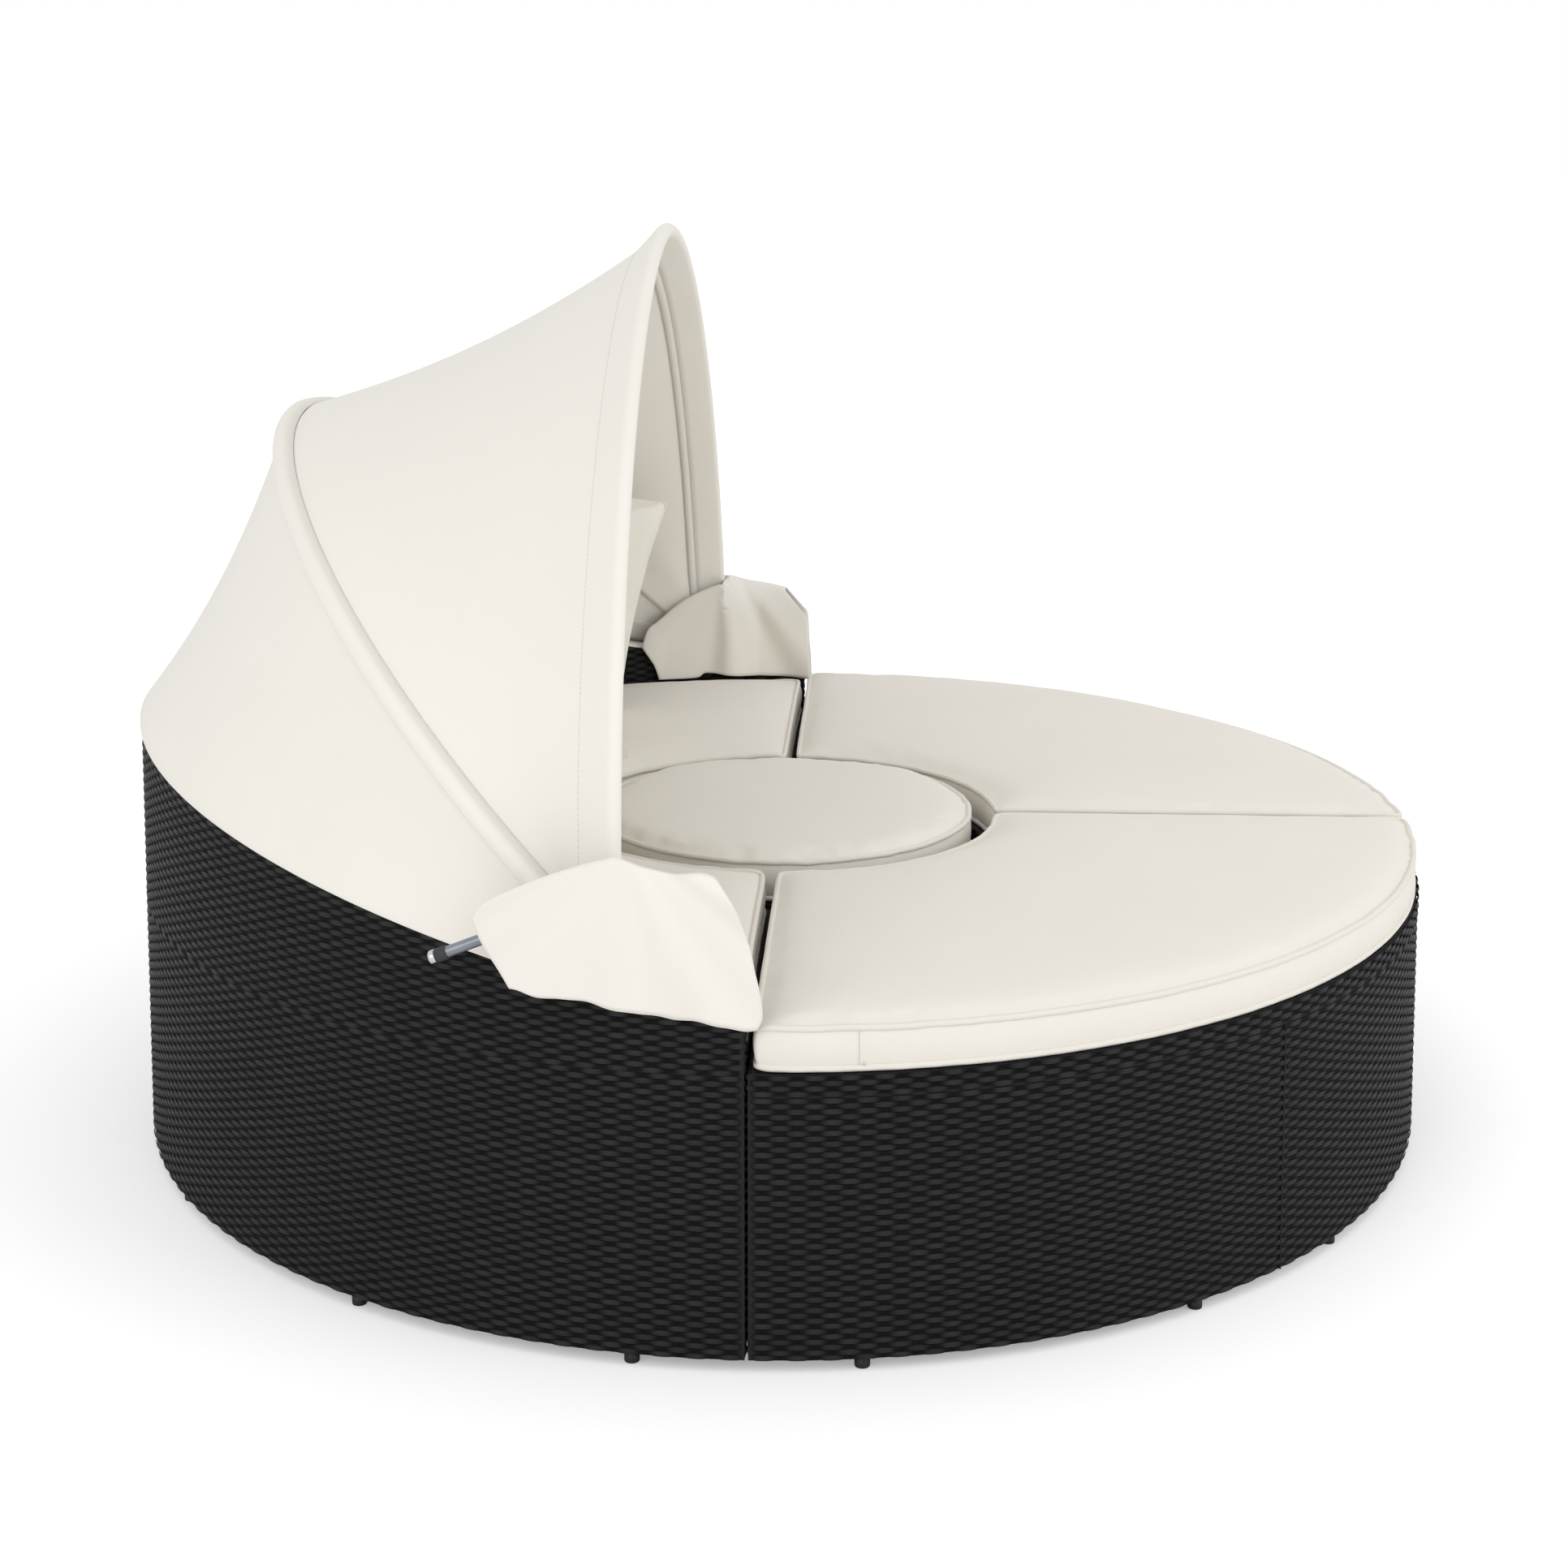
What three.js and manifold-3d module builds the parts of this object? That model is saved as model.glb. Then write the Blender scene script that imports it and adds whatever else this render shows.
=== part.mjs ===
// Round outdoor daybed with a folding canopy, in millimetres, +Z up, open front towards -Y.
// A half-moon sofa carries the canopy; two quarter-round ottomans and a round table complete the disc.
import * as THREE from "three";
import { mergeVertices } from "three/addons/utils/BufferGeometryUtils.js";
import Module from "manifold-3d";

const wasm = await Module();
wasm.setup();

// Whole daybed
const wickerRadius = 898; // outer face of the woven skirt
const seatHeight = 350; // top of the woven seat, where the cushions lie
const footHeight = 15;
const moduleGap = 4; // between neighbouring modules
const bayRadius = 298; // round bay that the centre table stands in
const tableGap = 24; // between the bay's wall and the table
const wickerWall = 3;
const seatedGap = 0.3; // between pieces that touch
const skinGap = 0.8; // between the faceted skin and the frame inside it
const overrun = 60; // how far cutting blocks reach past what they cut

// Sloping back wall of the sofa
const wallThickness = 30;
const rimFrontRise = 57; // rim above the seat, at the arms and at the back
const rimRearRise = 246;

// Steel frames inside the modules
const frameTube = 20;
const deckThickness = 3;

// Feet: plastic glides under the frame
const footRadius = 9;

// Cushions
const cushionThickness = 57.5;
const tableCushionThickness = 61;
const cushionCrown = 7;
const cushionSetback = 1; // side of the cushion behind the skirt's face
const seatSetback = 5; // side of the sofa's cushion clear of its back wall and bay
const cushionSideGap = 6; // from the joint between modules to the cushion
const cushionBulge = 6; // boxing stands out past the piped edges
const cushionEdgeRound = 5;
const cushionCorner = 6; // how far a corner is drawn in both ways
const tableCushionOverhang = 5;

// Throw pillow, standing on the seat cushion and leaning on the canopy cloth
const pillowSize = 370;
const pillowThickness = 115;
const pillowDrawIn = 14; // edges pull in between the corners
const pillowFromWall = 205.6; // its centre to the back wall's inner face
const pillowTurnDegrees = 38.33; // round the daybed from +X
const pillowYawDegrees = 30; // turned from facing -X towards the open front
const pillowLeanDegrees = 12;
const pillowRollDegrees = 20; // stands on one corner

// Canopy hoops, hinged on one axis across the arms
const pivotY = 150;
const pivotRise = 49; // above the rim at the arms
const hoopTube = 16;
const midHoopInset = 15; // its centre to the back wall's inner face
const midHoopReach = 761;
const midHoopTiltDegrees = 45.7;
const earGap = 1; // between the hinge ear and a hoop on each side of it
const frontHoopReach = 788;
const frontHoopTiltDegrees = 1.2;
const boltHoleClearance = 0.5;

// Canopy cloth
const cloth = 2;
const clothGap = 0.5;
const sleeveGap = 1.2; // round a hoop, which is faceted
const hemGap = 2; // outside the faceted skirt
const frontPocket = 46; // width of the hem that holds the front hoop
const frontPanelSag = 22;
const rearPanelSag = 18;
const sleeveFlange = 6; // sewn edge beside the middle hoop's sleeve
const hemDrop = 4; // outer hem below the rim
const bandDrop = 6; // inner edge of the cloth on the rim, below the rim
const bandStart = 42; // behind the hinge axis
const bandSetback = 6;

// Hinge hardware on each arm
const boltHead = 5;
const boltHeadRadius = 7;
const earThickness = 4;
const earRadius = 13;
const earBaseLength = 62;
const earBaseThickness = 3;
const earBaseWidth = 27;
const boltRadius = 4;
const knobRadius = 7; // fixing knob on the inner face of the back wall
const knobLength = 10;
const knobGrip = 2;
const knobBack = 18; // behind the hinge axis
const knobRise = 11; // above the rim at the arms
const stayThickness = 3;
const stayWidth = 18;
const stayGap = 9; // between the front hoop and the stay, room for the cloth
const bossLength = 6;
const bossRadius = 8;

// Bent arm tube that carries the hinge flap
const armTube = 13;
const armFootY = 12;
const armCornerY = 38;
const armCrestRise = 153; // above the rim at the arms
const armCornerDrop = 10; // below the crest
const armEndDrop = 79;
const armEndBack = 193; // behind the hinge axis
const armEndTuck = 14; // tube end nearer the middle than its crest
const armFootLift = 2.5;
const collarRadius = 8;
const collarLength = 9;
const plugLength = 13;
const plugRound = 2;

// Hinge flap: a saddle of cloth over the arm
const flapOuterPeak = [-13, 32]; // Y from the hinge axis, height from the arm tube's crest
const flapInnerPeak = [-11, 20];
const flapOuterRear = [138, -11]; // top corner of the outer leaf behind the peak
const flapInnerRear = [114, -48];
const flapCorner = [-2, 21]; // from the arm tube's front corner
const flapOuterHemRear = [113, 42]; // Y from the hinge axis, height from the rim at the arms
const flapInnerHemRear = [106, 6];
const flapOuterHemFront = [-29, -2]; // Y from the arm tube's foot, height from the rim at the arms
const flapInnerHemFront = [-25, 7];
const flapRearBulge = 24; // the two end edges bow outwards
const flapFrontBulge = 18;
const flapFold = 5;
const flapClear = 2.5; // cloth to the tube, wall or hoop beside it

// Counts and shares of the shapes
const outerStepsPerQuarter = 22;
const innerStepsPerQuarter = 10;
const footSides = 10;
const tubeSides = 8;
const hoopSteps = 36;
const armSteps = 22;
const turnedSides = 12;
const tableSides = 36;
const sagSteps = 3;
const panelSkipSteps = 1; // cloth begins this many of the hoop's steps from the pivot
const seatCushionSteps = [22, 8]; // round the daybed and across the seat
const ottomanCushionSteps = [14, 7];
const pillowSteps = 10;
const flapRearSteps = 7;
const flapFrontSteps = 6;
const leafSteps = 4; // up each leaf of the flap
const flapFoldCount = 4;
const hoopPowerShare = 1.87; // just under an ellipse
const crownShares = [0, 0.35, 0.65, 0.85]; // across the table's cushion, from its middle
const armBendShare = 0.6; // where the arm tube bends between its foot, corner and crest
const armSettleShare = 1.2; // how soon the tube reaches its crest's place
const flapTopShare = 0.8;
const flapTopPowerShare = 8; // how late a leaf turns in over the tube
const bowPowerShare = 1.4;
const wrapSteps = 4;
const sleeveSteps = 4;
const crownPowerShare = 4;
const crowdShare = 0.3; // how much a cushion's grid gathers towards its edges
const pillowPowerShare = 0.62;
const pillowBedShare = 0.745; // of the seat cushion's crown, under the corner it stands on

// Feet, as turns from a module's joint face
const sofaFootTurns = [8.6, 32.3, 58.4];
const ottomanFootTurns = [8.5, 36.4];
const tableFootTurns = [90, 210, 330];
const sleeveOverlapDegrees = 12; // how far the sleeve goes past half round the middle hoop

// Worked out from the values above
const degrees = THREE.MathUtils.degToRad;
const rimFrontHeight = seatHeight + rimFrontRise;
const rimRearHeight = seatHeight + rimRearRise;
const rimRise = (rimRearHeight - rimFrontHeight) / wickerRadius;
const skinInner = wickerRadius - wickerWall;
const frameOuter = skinInner - skinGap;
const backTube = wallThickness - 2 * (wickerWall + skinGap);
const innerSkinOuter = frameOuter - backTube - skinGap;
const wallInner = wickerRadius - wallThickness;
const tableRadius = bayRadius - tableGap;
const pivotHeight = rimFrontHeight + pivotRise;
const midHoopHalfWidth = wallInner - midHoopInset;
const frontHoopHalfWidth = midHoopHalfWidth + hoopTube + earThickness + 2 * earGap;
const bandStartY = pivotY + bandStart;
const armCrestHeight = rimFrontHeight + armCrestRise;
const armCornerHeight = armCrestHeight - armCornerDrop;
const armEndHeight = armCrestHeight - armEndDrop;
const armEndY = pivotY + armEndBack;
const jointFace = moduleGap / 2;
const frameBottom = footHeight;
const deckBottom = seatHeight - deckThickness;
const frameTop = deckBottom - seatedGap;
const bayFrame = bayRadius + wickerWall + skinGap;
const sideFrame = jointFace + wickerWall + skinGap;
const hoopRadius = hoopTube / 2;
const armRadius = armTube / 2;
const midTilt = degrees(midHoopTiltDegrees);
const frontTilt = degrees(frontHoopTiltDegrees);
const sleeveOverlap = degrees(sleeveOverlapDegrees);
const earX = (midHoopHalfWidth + frontHoopHalfWidth) / 2;
const stayX = frontHoopHalfWidth + hoopRadius + stayGap;
const armX = stayX + stayThickness + skinGap + armRadius;
const armFootX = wickerRadius - wallThickness / 2;
const armEndX = armX - armEndTuck;
const halfTurn = Math.PI;
const quarterTurn = Math.PI / 2;

const rimHeight = (y) => rimFrontHeight + rimRise * y;
const lerp = THREE.MathUtils.lerp;

// Solids: closed meshes joined and cut
function toSolid(geometry) {
  const bare = geometry.clone();
  bare.deleteAttribute("normal");
  bare.deleteAttribute("uv");
  const merged = mergeVertices(bare);
  return new wasm.Manifold(
    new wasm.Mesh({
      numProp: 3,
      vertProperties: merged.attributes.position.array,
      triVerts: new Uint32Array(merged.index.array),
    }),
  );
}

function toGeometry(solid) {
  const mesh = solid.getMesh();
  const geometry = new THREE.BufferGeometry();
  geometry.setAttribute("position", new THREE.BufferAttribute(mesh.vertProperties, 3));
  geometry.setIndex(new THREE.BufferAttribute(mesh.triVerts, 1));
  return geometry;
}

const join = (...parts) => parts.map(toSolid).reduce((sum, part) => sum.add(part));

// Plans in the floor plane
function arcPoints(radius, from, to, stepsPerQuarter) {
  const steps = Math.max(1, Math.round((Math.abs(to - from) / quarterTurn) * stepsPerQuarter));
  const points = [];
  for (let i = 0; i <= steps; i++) {
    const angle = lerp(from, to, i / steps);
    points.push(new THREE.Vector2(radius * Math.cos(angle), radius * Math.sin(angle)));
  }
  return points;
}

// A slice of a ring whose straight sides stand sideGap inside its two bounding radii
function slicePoints(inner, outer, from, to, sideGap) {
  const outerTurn = Math.asin(sideGap / outer);
  const innerTurn = Math.asin(sideGap / inner);
  return [
    ...arcPoints(outer, from + outerTurn, to - outerTurn, outerStepsPerQuarter),
    ...arcPoints(
      inner,
      to - innerTurn,
      from + innerTurn,
      inner > wallInner / 2 ? outerStepsPerQuarter : innerStepsPerQuarter,
    ),
  ];
}

function extrudeUp(outline, low, high, hole) {
  const shape = new THREE.Shape(outline);
  if (hole) shape.holes.push(new THREE.Path(hole));
  const options = { depth: high - low, bevelEnabled: false };
  return new THREE.ExtrudeGeometry(shape, options).translate(0, 0, low);
}

// Turns a shape drawn in (y, z) into a plate from xLow to xHigh
function extrudeAcross(outline, xLow, xHigh) {
  const basis = new THREE.Matrix4().makeBasis(
    new THREE.Vector3(0, 1, 0),
    new THREE.Vector3(0, 0, 1),
    new THREE.Vector3(1, 0, 0),
  );
  return extrudeUp(outline, xLow, xHigh).applyMatrix4(basis);
}

// A block between two planes that run parallel to the sloping rim
function slantBlock(low, high) {
  const reach = wickerRadius + overrun;
  const corner = (y, offset) => new THREE.Vector2(y, rimHeight(y) + offset);
  const outline = [
    corner(-reach, low),
    corner(reach, low),
    corner(reach, high),
    corner(-reach, high),
  ];
  return toSolid(extrudeAcross(outline, -reach, reach));
}

function belowRim(geometry, drop) {
  return toGeometry(toSolid(geometry).subtract(slantBlock(-drop, rimRearHeight)));
}

function turned(profile, sides) {
  const points = profile.map(([radius, height]) => new THREE.Vector2(radius, height));
  return new THREE.LatheGeometry(points, sides);
}

// A turned piece laid along +X from x = start
function turnedAcross(profile, sides, start, y, z) {
  return turned(profile, sides).rotateZ(-quarterTurn).translate(start, y, z);
}

function circlePoints(radius, sides) {
  const points = [];
  for (let i = 0; i < sides; i++) {
    const angle = ((i + 0.5) / sides) * 2 * halfTurn;
    points.push(new THREE.Vector2(radius * Math.cos(angle), radius * Math.sin(angle)));
  }
  return points;
}

function tubeAlong(curve, radius, steps) {
  const section = new THREE.Shape(circlePoints(radius, tubeSides));
  return new THREE.ExtrudeGeometry(section, { steps, extrudePath: curve, bevelEnabled: false });
}

// Triangles of a quad given by four vertex numbers
function quad(index, a, b, c, d) {
  index.push(a, b, c, a, c, d);
}

// A sheet of cloth: a grid of points on its outer face, given thickness behind it
function sheetGeometry(pointAt, columns, rows, thickness, keep = () => true) {
  const grid = [];
  for (let j = 0; j <= rows; j++) {
    for (let i = 0; i <= columns; i++) grid.push(pointAt(i, j));
  }
  const at = (i, j) => j * (columns + 1) + i;
  const point = (i, j) =>
    grid[at(THREE.MathUtils.clamp(i, 0, columns), THREE.MathUtils.clamp(j, 0, rows))];
  const positions = [];
  grid.forEach((p) => positions.push(p.x, p.y, p.z));
  for (let j = 0; j <= rows; j++) {
    for (let i = 0; i <= columns; i++) {
      const across = point(i + 1, j).clone().sub(point(i - 1, j));
      const along = point(i, j + 1).clone().sub(point(i, j - 1));
      const back = across.cross(along).setLength(-thickness).add(point(i, j));
      positions.push(back.x, back.y, back.z);
    }
  }
  const count = grid.length;
  const index = [];
  const kept = (i, j) => i >= 0 && j >= 0 && i < columns && j < rows && keep(i, j);
  for (let j = 0; j < rows; j++) {
    for (let i = 0; i < columns; i++) {
      if (!kept(i, j)) continue;
      const corners = [at(i, j), at(i + 1, j), at(i + 1, j + 1), at(i, j + 1)];
      quad(index, ...corners);
      quad(index, ...corners.map((k) => k + count).reverse());
      const beside = [kept(i, j - 1), kept(i + 1, j), kept(i, j + 1), kept(i - 1, j)];
      beside.forEach((neighbour, side) => {
        const a = corners[side];
        const b = corners[(side + 1) % 4];
        if (!neighbour) quad(index, b, a, a + count, b + count);
      });
    }
  }
  const geometry = new THREE.BufferGeometry();
  geometry.setAttribute("position", new THREE.Float32BufferAttribute(positions, 3));
  geometry.setIndex(index);
  return geometry;
}

// Plan position of a cushion that is a slice of a ring; u and v run from -1 to 1
function slicePlace({ inner, outer, from, to, sideGap, inset, u, v }) {
  const radius = lerp(inner + inset, outer - inset, (v + 1) / 2);
  const turn = Math.asin((sideGap + inset) / radius);
  const angle = lerp(from + turn, to - turn, (u + 1) / 2);
  return new THREE.Vector3(radius * Math.cos(angle), radius * Math.sin(angle), 0);
}

// A boxed cushion: crowned top, boxing between two piped edges, flat underside
function cushionGeometry(place, columns, rows, low, high) {
  const positions = [];
  const index = [];
  const ease = (share) => lerp(2 * share - 1, -Math.cos(halfTurn * share), crowdShare);
  const corner = (i, j) => (i === 0 || i === columns) && (j === 0 || j === rows);
  const put = (i, j, inset, z) => {
    const drawn = inset + (corner(i, j) ? cushionCorner : 0);
    const p = place(ease(i / columns), ease(j / rows), drawn);
    positions.push(p.x, p.y, z);
    return positions.length / 3 - 1;
  };
  const rise = (i, j) => {
    const u = Math.abs(ease(i / columns));
    const v = Math.abs(ease(j / rows));
    return cushionCrown * (1 - u ** crownPowerShare) * (1 - v ** crownPowerShare);
  };
  const face = (inset, height) => {
    const ids = [];
    for (let j = 0; j <= rows; j++) {
      for (let i = 0; i <= columns; i++) ids.push(put(i, j, inset, height(i, j)));
    }
    return ids;
  };
  const top = face(cushionBulge + cushionEdgeRound, (i, j) => high + rise(i, j));
  const bottom = face(cushionBulge + cushionEdgeRound, () => low);
  const at = (ids, i, j) => ids[j * (columns + 1) + i];
  for (let j = 0; j < rows; j++) {
    for (let i = 0; i < columns; i++) {
      const ring = (ids) => [at(ids, i, j), at(ids, i + 1, j), at(ids, i + 1, j + 1), at(ids, i, j + 1)];
      quad(index, ...ring(top).reverse());
      quad(index, ...ring(bottom));
    }
  }
  const around = [];
  for (let i = 0; i < columns; i++) around.push([i, 0]);
  for (let j = 0; j < rows; j++) around.push([columns, j]);
  for (let i = columns; i > 0; i--) around.push([i, rows]);
  for (let j = rows; j > 0; j--) around.push([0, j]);
  const middle = (low + high) / 2;
  const levels = [
    [cushionBulge, high - cushionEdgeRound],
    [0, middle],
    [cushionBulge, low + cushionEdgeRound],
  ];
  const rings = [
    around.map(([i, j]) => at(top, i, j)),
    ...levels.map(([inset, z]) => around.map(([i, j]) => put(i, j, inset, z))),
    around.map(([i, j]) => at(bottom, i, j)),
  ];
  for (let k = 0; k + 1 < rings.length; k++) {
    around.forEach((_, n) => {
      const next = (n + 1) % around.length;
      quad(index, rings[k][n], rings[k][next], rings[k + 1][next], rings[k + 1][n]);
    });
  }
  const geometry = new THREE.BufferGeometry();
  geometry.setAttribute("position", new THREE.Float32BufferAttribute(positions, 3));
  geometry.setIndex(index);
  return geometry;
}

// Modules
function post(angle, radius, low, high) {
  const box = new THREE.BoxGeometry(frameTube, frameTube, high - low);
  return box.translate(radius, 0, (low + high) / 2).rotateZ(angle);
}

function spoke(angle, from, to, low, high) {
  const box = new THREE.BoxGeometry(to - from, frameTube, high - low);
  return box.translate((from + to) / 2, 0, (low + high) / 2).rotateZ(angle);
}

function frameRing(from, to, low, high) {
  return extrudeUp(
    slicePoints(bayFrame, frameOuter, from, to, sideFrame),
    low,
    high,
    slicePoints(bayFrame + frameTube, frameOuter - frameTube, from, to, sideFrame + frameTube),
  );
}

const outerPost = frameOuter - frameTube / 2;
const bayPost = bayFrame + frameTube / 2;

// Two rings, posts over the feet and spokes under the deck
function moduleFrame(from, to, outerAngles, bayAngles) {
  const high = frameTop - frameTube / 2;
  const low = frameBottom + frameTube / 2;
  return join(
    frameRing(from, to, frameBottom, frameBottom + frameTube),
    frameRing(from, to, frameTop - frameTube, frameTop),
    ...outerAngles.map((angle) => post(angle, outerPost, low, high)),
    ...bayAngles.map((angle) => post(angle, bayPost, low, high)),
    ...bayAngles.map((angle) => spoke(angle, bayPost, outerPost, frameTop - frameTube, frameTop)),
  );
}

function sofaFrame(outerAngles, bayAngles) {
  const from = Math.asin(sideFrame / frameOuter);
  const wall = slicePoints(frameOuter - backTube, frameOuter, 0, halfTurn, sideFrame);
  const rim = toSolid(extrudeUp(wall, frameTop, rimRearHeight)).intersect(
    slantBlock(-frameTube, -seatedGap),
  );
  const armTurn = from + Math.asin(frameTube / 2 / outerPost);
  const uprights = [armTurn, halfTurn - armTurn, ...outerAngles].map((angle) =>
    toSolid(post(angle, outerPost, frameTop - frameTube / 2, rimRearHeight)).subtract(
      slantBlock(-frameTube / 2, rimRearHeight),
    ),
  );
  const base = moduleFrame(0, halfTurn, outerAngles, bayAngles);
  return toGeometry(uprights.reduce((sum, part) => sum.add(part), base.add(rim)));
}

function outerWicker() {
  const from = Math.asin(jointFace / wickerRadius);
  const outline = [
    ...arcPoints(wickerRadius, from, halfTurn - from, outerStepsPerQuarter),
    ...arcPoints(skinInner, halfTurn - from, from, outerStepsPerQuarter),
  ];
  return belowRim(extrudeUp(outline, footHeight, rimRearHeight), 0);
}

// The bay wall and the two flat joint faces of the sofa, under the seat
function frontWicker() {
  const limit = skinInner - skinGap;
  const bayTurn = Math.asin(jointFace / bayRadius);
  const innerTurn = Math.asin((jointFace + wickerWall) / (bayRadius + wickerWall));
  const side = jointFace + wickerWall;
  const outline = [
    new THREE.Vector2(limit, jointFace),
    new THREE.Vector2(limit, side),
    ...arcPoints(bayRadius + wickerWall, innerTurn, halfTurn - innerTurn, innerStepsPerQuarter),
    new THREE.Vector2(-limit, side),
    new THREE.Vector2(-limit, jointFace),
    ...arcPoints(bayRadius, halfTurn - bayTurn, bayTurn, innerStepsPerQuarter),
  ];
  return extrudeUp(outline, footHeight, seatHeight);
}

// Inner face of the back wall, returned across the ends of the arms
function innerWicker() {
  const limit = skinInner - skinGap;
  const end = Math.asin(jointFace / wallInner);
  const inside = Math.asin((jointFace + wickerWall) / innerSkinOuter);
  const side = jointFace + wickerWall;
  const outline = [
    ...arcPoints(wallInner, halfTurn - end, end, outerStepsPerQuarter),
    new THREE.Vector2(limit, jointFace),
    new THREE.Vector2(limit, side),
    ...arcPoints(innerSkinOuter, inside, halfTurn - inside, outerStepsPerQuarter),
    new THREE.Vector2(-limit, side),
    new THREE.Vector2(-limit, jointFace),
  ];
  return belowRim(extrudeUp(outline, seatHeight + seatedGap, rimRearHeight), 0);
}

function sofaDeck() {
  const outline = slicePoints(bayFrame, wallInner, 0, halfTurn, sideFrame);
  return extrudeUp(outline, deckBottom, seatHeight);
}

function ottomanWicker(from, to) {
  return extrudeUp(
    slicePoints(bayRadius, wickerRadius, from, to, jointFace),
    footHeight,
    seatHeight,
    slicePoints(bayRadius + wickerWall, skinInner, from, to, jointFace + wickerWall),
  );
}

function ottomanDeck(from, to) {
  return extrudeUp(slicePoints(bayFrame, frameOuter, from, to, sideFrame), deckBottom, seatHeight);
}

function sliceCushion(inner, outer, from, to, columns, rows) {
  const place = (u, v, inset) =>
    slicePlace({ inner, outer, from, to, sideGap: cushionSideGap, inset, u, v });
  const low = seatHeight + seatedGap;
  return cushionGeometry(place, columns, rows, low, seatHeight + cushionThickness);
}

function foot() {
  return turned(
    [
      [0, 0],
      [footRadius, 0],
      [footRadius, footHeight],
      [0, footHeight],
    ],
    footSides,
  ).rotateX(quarterTurn);
}

// Centre table
const tablePost = tableRadius - wickerWall - 2 * skinGap - frameTube / 2 - seatedGap;

function tableWicker() {
  const inner = tableRadius - wickerWall;
  const ring = (radius) => arcPoints(radius, 0, 2 * halfTurn, tableSides / 4).slice(0, -1);
  return extrudeUp(ring(tableRadius), footHeight, seatHeight, ring(inner));
}

function tableFrame(angles) {
  const outer = tableRadius - wickerWall - skinGap;
  const ring = (radius) => arcPoints(radius, 0, 2 * halfTurn, tableSides / 4).slice(0, -1);
  const hoop = (low) => extrudeUp(ring(outer), low, low + frameTube, ring(outer - frameTube));
  const centre = tablePost;
  const low = frameBottom + frameTube / 2;
  const high = frameTop - frameTube / 2;
  return toGeometry(
    join(
      hoop(frameBottom),
      hoop(frameTop - frameTube),
      ...angles.map((angle) => post(angle, centre, low, high)),
      ...angles.map((angle) => spoke(angle, 0, centre, frameTop - frameTube, frameTop)),
    ),
  );
}

function tableDeck() {
  const radius = tableRadius - wickerWall - skinGap;
  const outline = arcPoints(radius, 0, 2 * halfTurn, tableSides / 4).slice(0, -1);
  return extrudeUp(outline, deckBottom, seatHeight);
}

function tableCushion() {
  const outer = tableRadius + tableCushionOverhang;
  const low = seatHeight + seatedGap;
  const high = seatHeight + tableCushionThickness;
  const edge = outer - cushionBulge;
  const flat = edge - cushionEdgeRound;
  const crown = crownShares.map((share) => [
    flat * share,
    high + cushionCrown * (1 - share ** crownPowerShare),
  ]);
  return turned(
    [
      [0, low],
      [flat, low],
      [edge, low + cushionEdgeRound],
      [outer, (low + high) / 2],
      [edge, high - cushionEdgeRound],
      [flat, high],
      ...crown.reverse(),
    ],
    tableSides,
  ).rotateX(quarterTurn);
}

// Throw pillow: two domed faces that meet in a drawn-in edge
function pillowGeometry(cells) {
  const half = pillowSize / 2;
  const positions = [];
  const index = [];
  const ids = new Map();
  const put = (i, j, face) => {
    const edge = i === 0 || j === 0 || i === cells || j === cells;
    const key = `${i} ${j} ${edge ? 0 : face}`;
    if (!ids.has(key)) {
      const u = -Math.cos((halfTurn * i) / cells);
      const v = -Math.cos((halfTurn * j) / cells);
      const dome = edge ? 0 : ((1 - u * u) * (1 - v * v)) ** pillowPowerShare;
      const x = u * (half - pillowDrawIn * (1 - v * v));
      const y = v * (half - pillowDrawIn * (1 - u * u));
      positions.push(x, y, (face * dome * pillowThickness) / 2);
      ids.set(key, positions.length / 3 - 1);
    }
    return ids.get(key);
  };
  for (let j = 0; j < cells; j++) {
    for (let i = 0; i < cells; i++) {
      const ring = (face) => [
        put(i, j, face),
        put(i + 1, j, face),
        put(i + 1, j + 1, face),
        put(i, j + 1, face),
      ];
      quad(index, ...ring(1));
      quad(index, ...ring(-1).reverse());
    }
  }
  const geometry = new THREE.BufferGeometry();
  geometry.setAttribute("position", new THREE.Float32BufferAttribute(positions, 3));
  geometry.setIndex(index);
  return geometry;
}

// Canopy hoops; theta runs from the right-hand pivot over the top to the left-hand one
function hoopPoint(theta, halfWidth, reach, tilt) {
  const power = 2 / hoopPowerShare;
  const cos = Math.cos(theta);
  const rise = reach * Math.max(0, Math.sin(theta)) ** power;
  const x = halfWidth * Math.sign(cos) * Math.abs(cos) ** power;
  return new THREE.Vector3(x, pivotY + rise * Math.sin(tilt), pivotHeight + rise * Math.cos(tilt));
}

const midPoint = (theta) => hoopPoint(theta, midHoopHalfWidth, midHoopReach, midTilt);
const frontPoint = (theta) => hoopPoint(theta, frontHoopHalfWidth, frontHoopReach, frontTilt);

class HoopCurve extends THREE.Curve {
  constructor(pointAt) {
    super();
    this.pointAt = pointAt;
  }

  getPoint(t) {
    return this.pointAt(t * halfTurn);
  }
}

const midCurve = new HoopCurve(midPoint);
const frontCurve = new HoopCurve(frontPoint);

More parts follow.
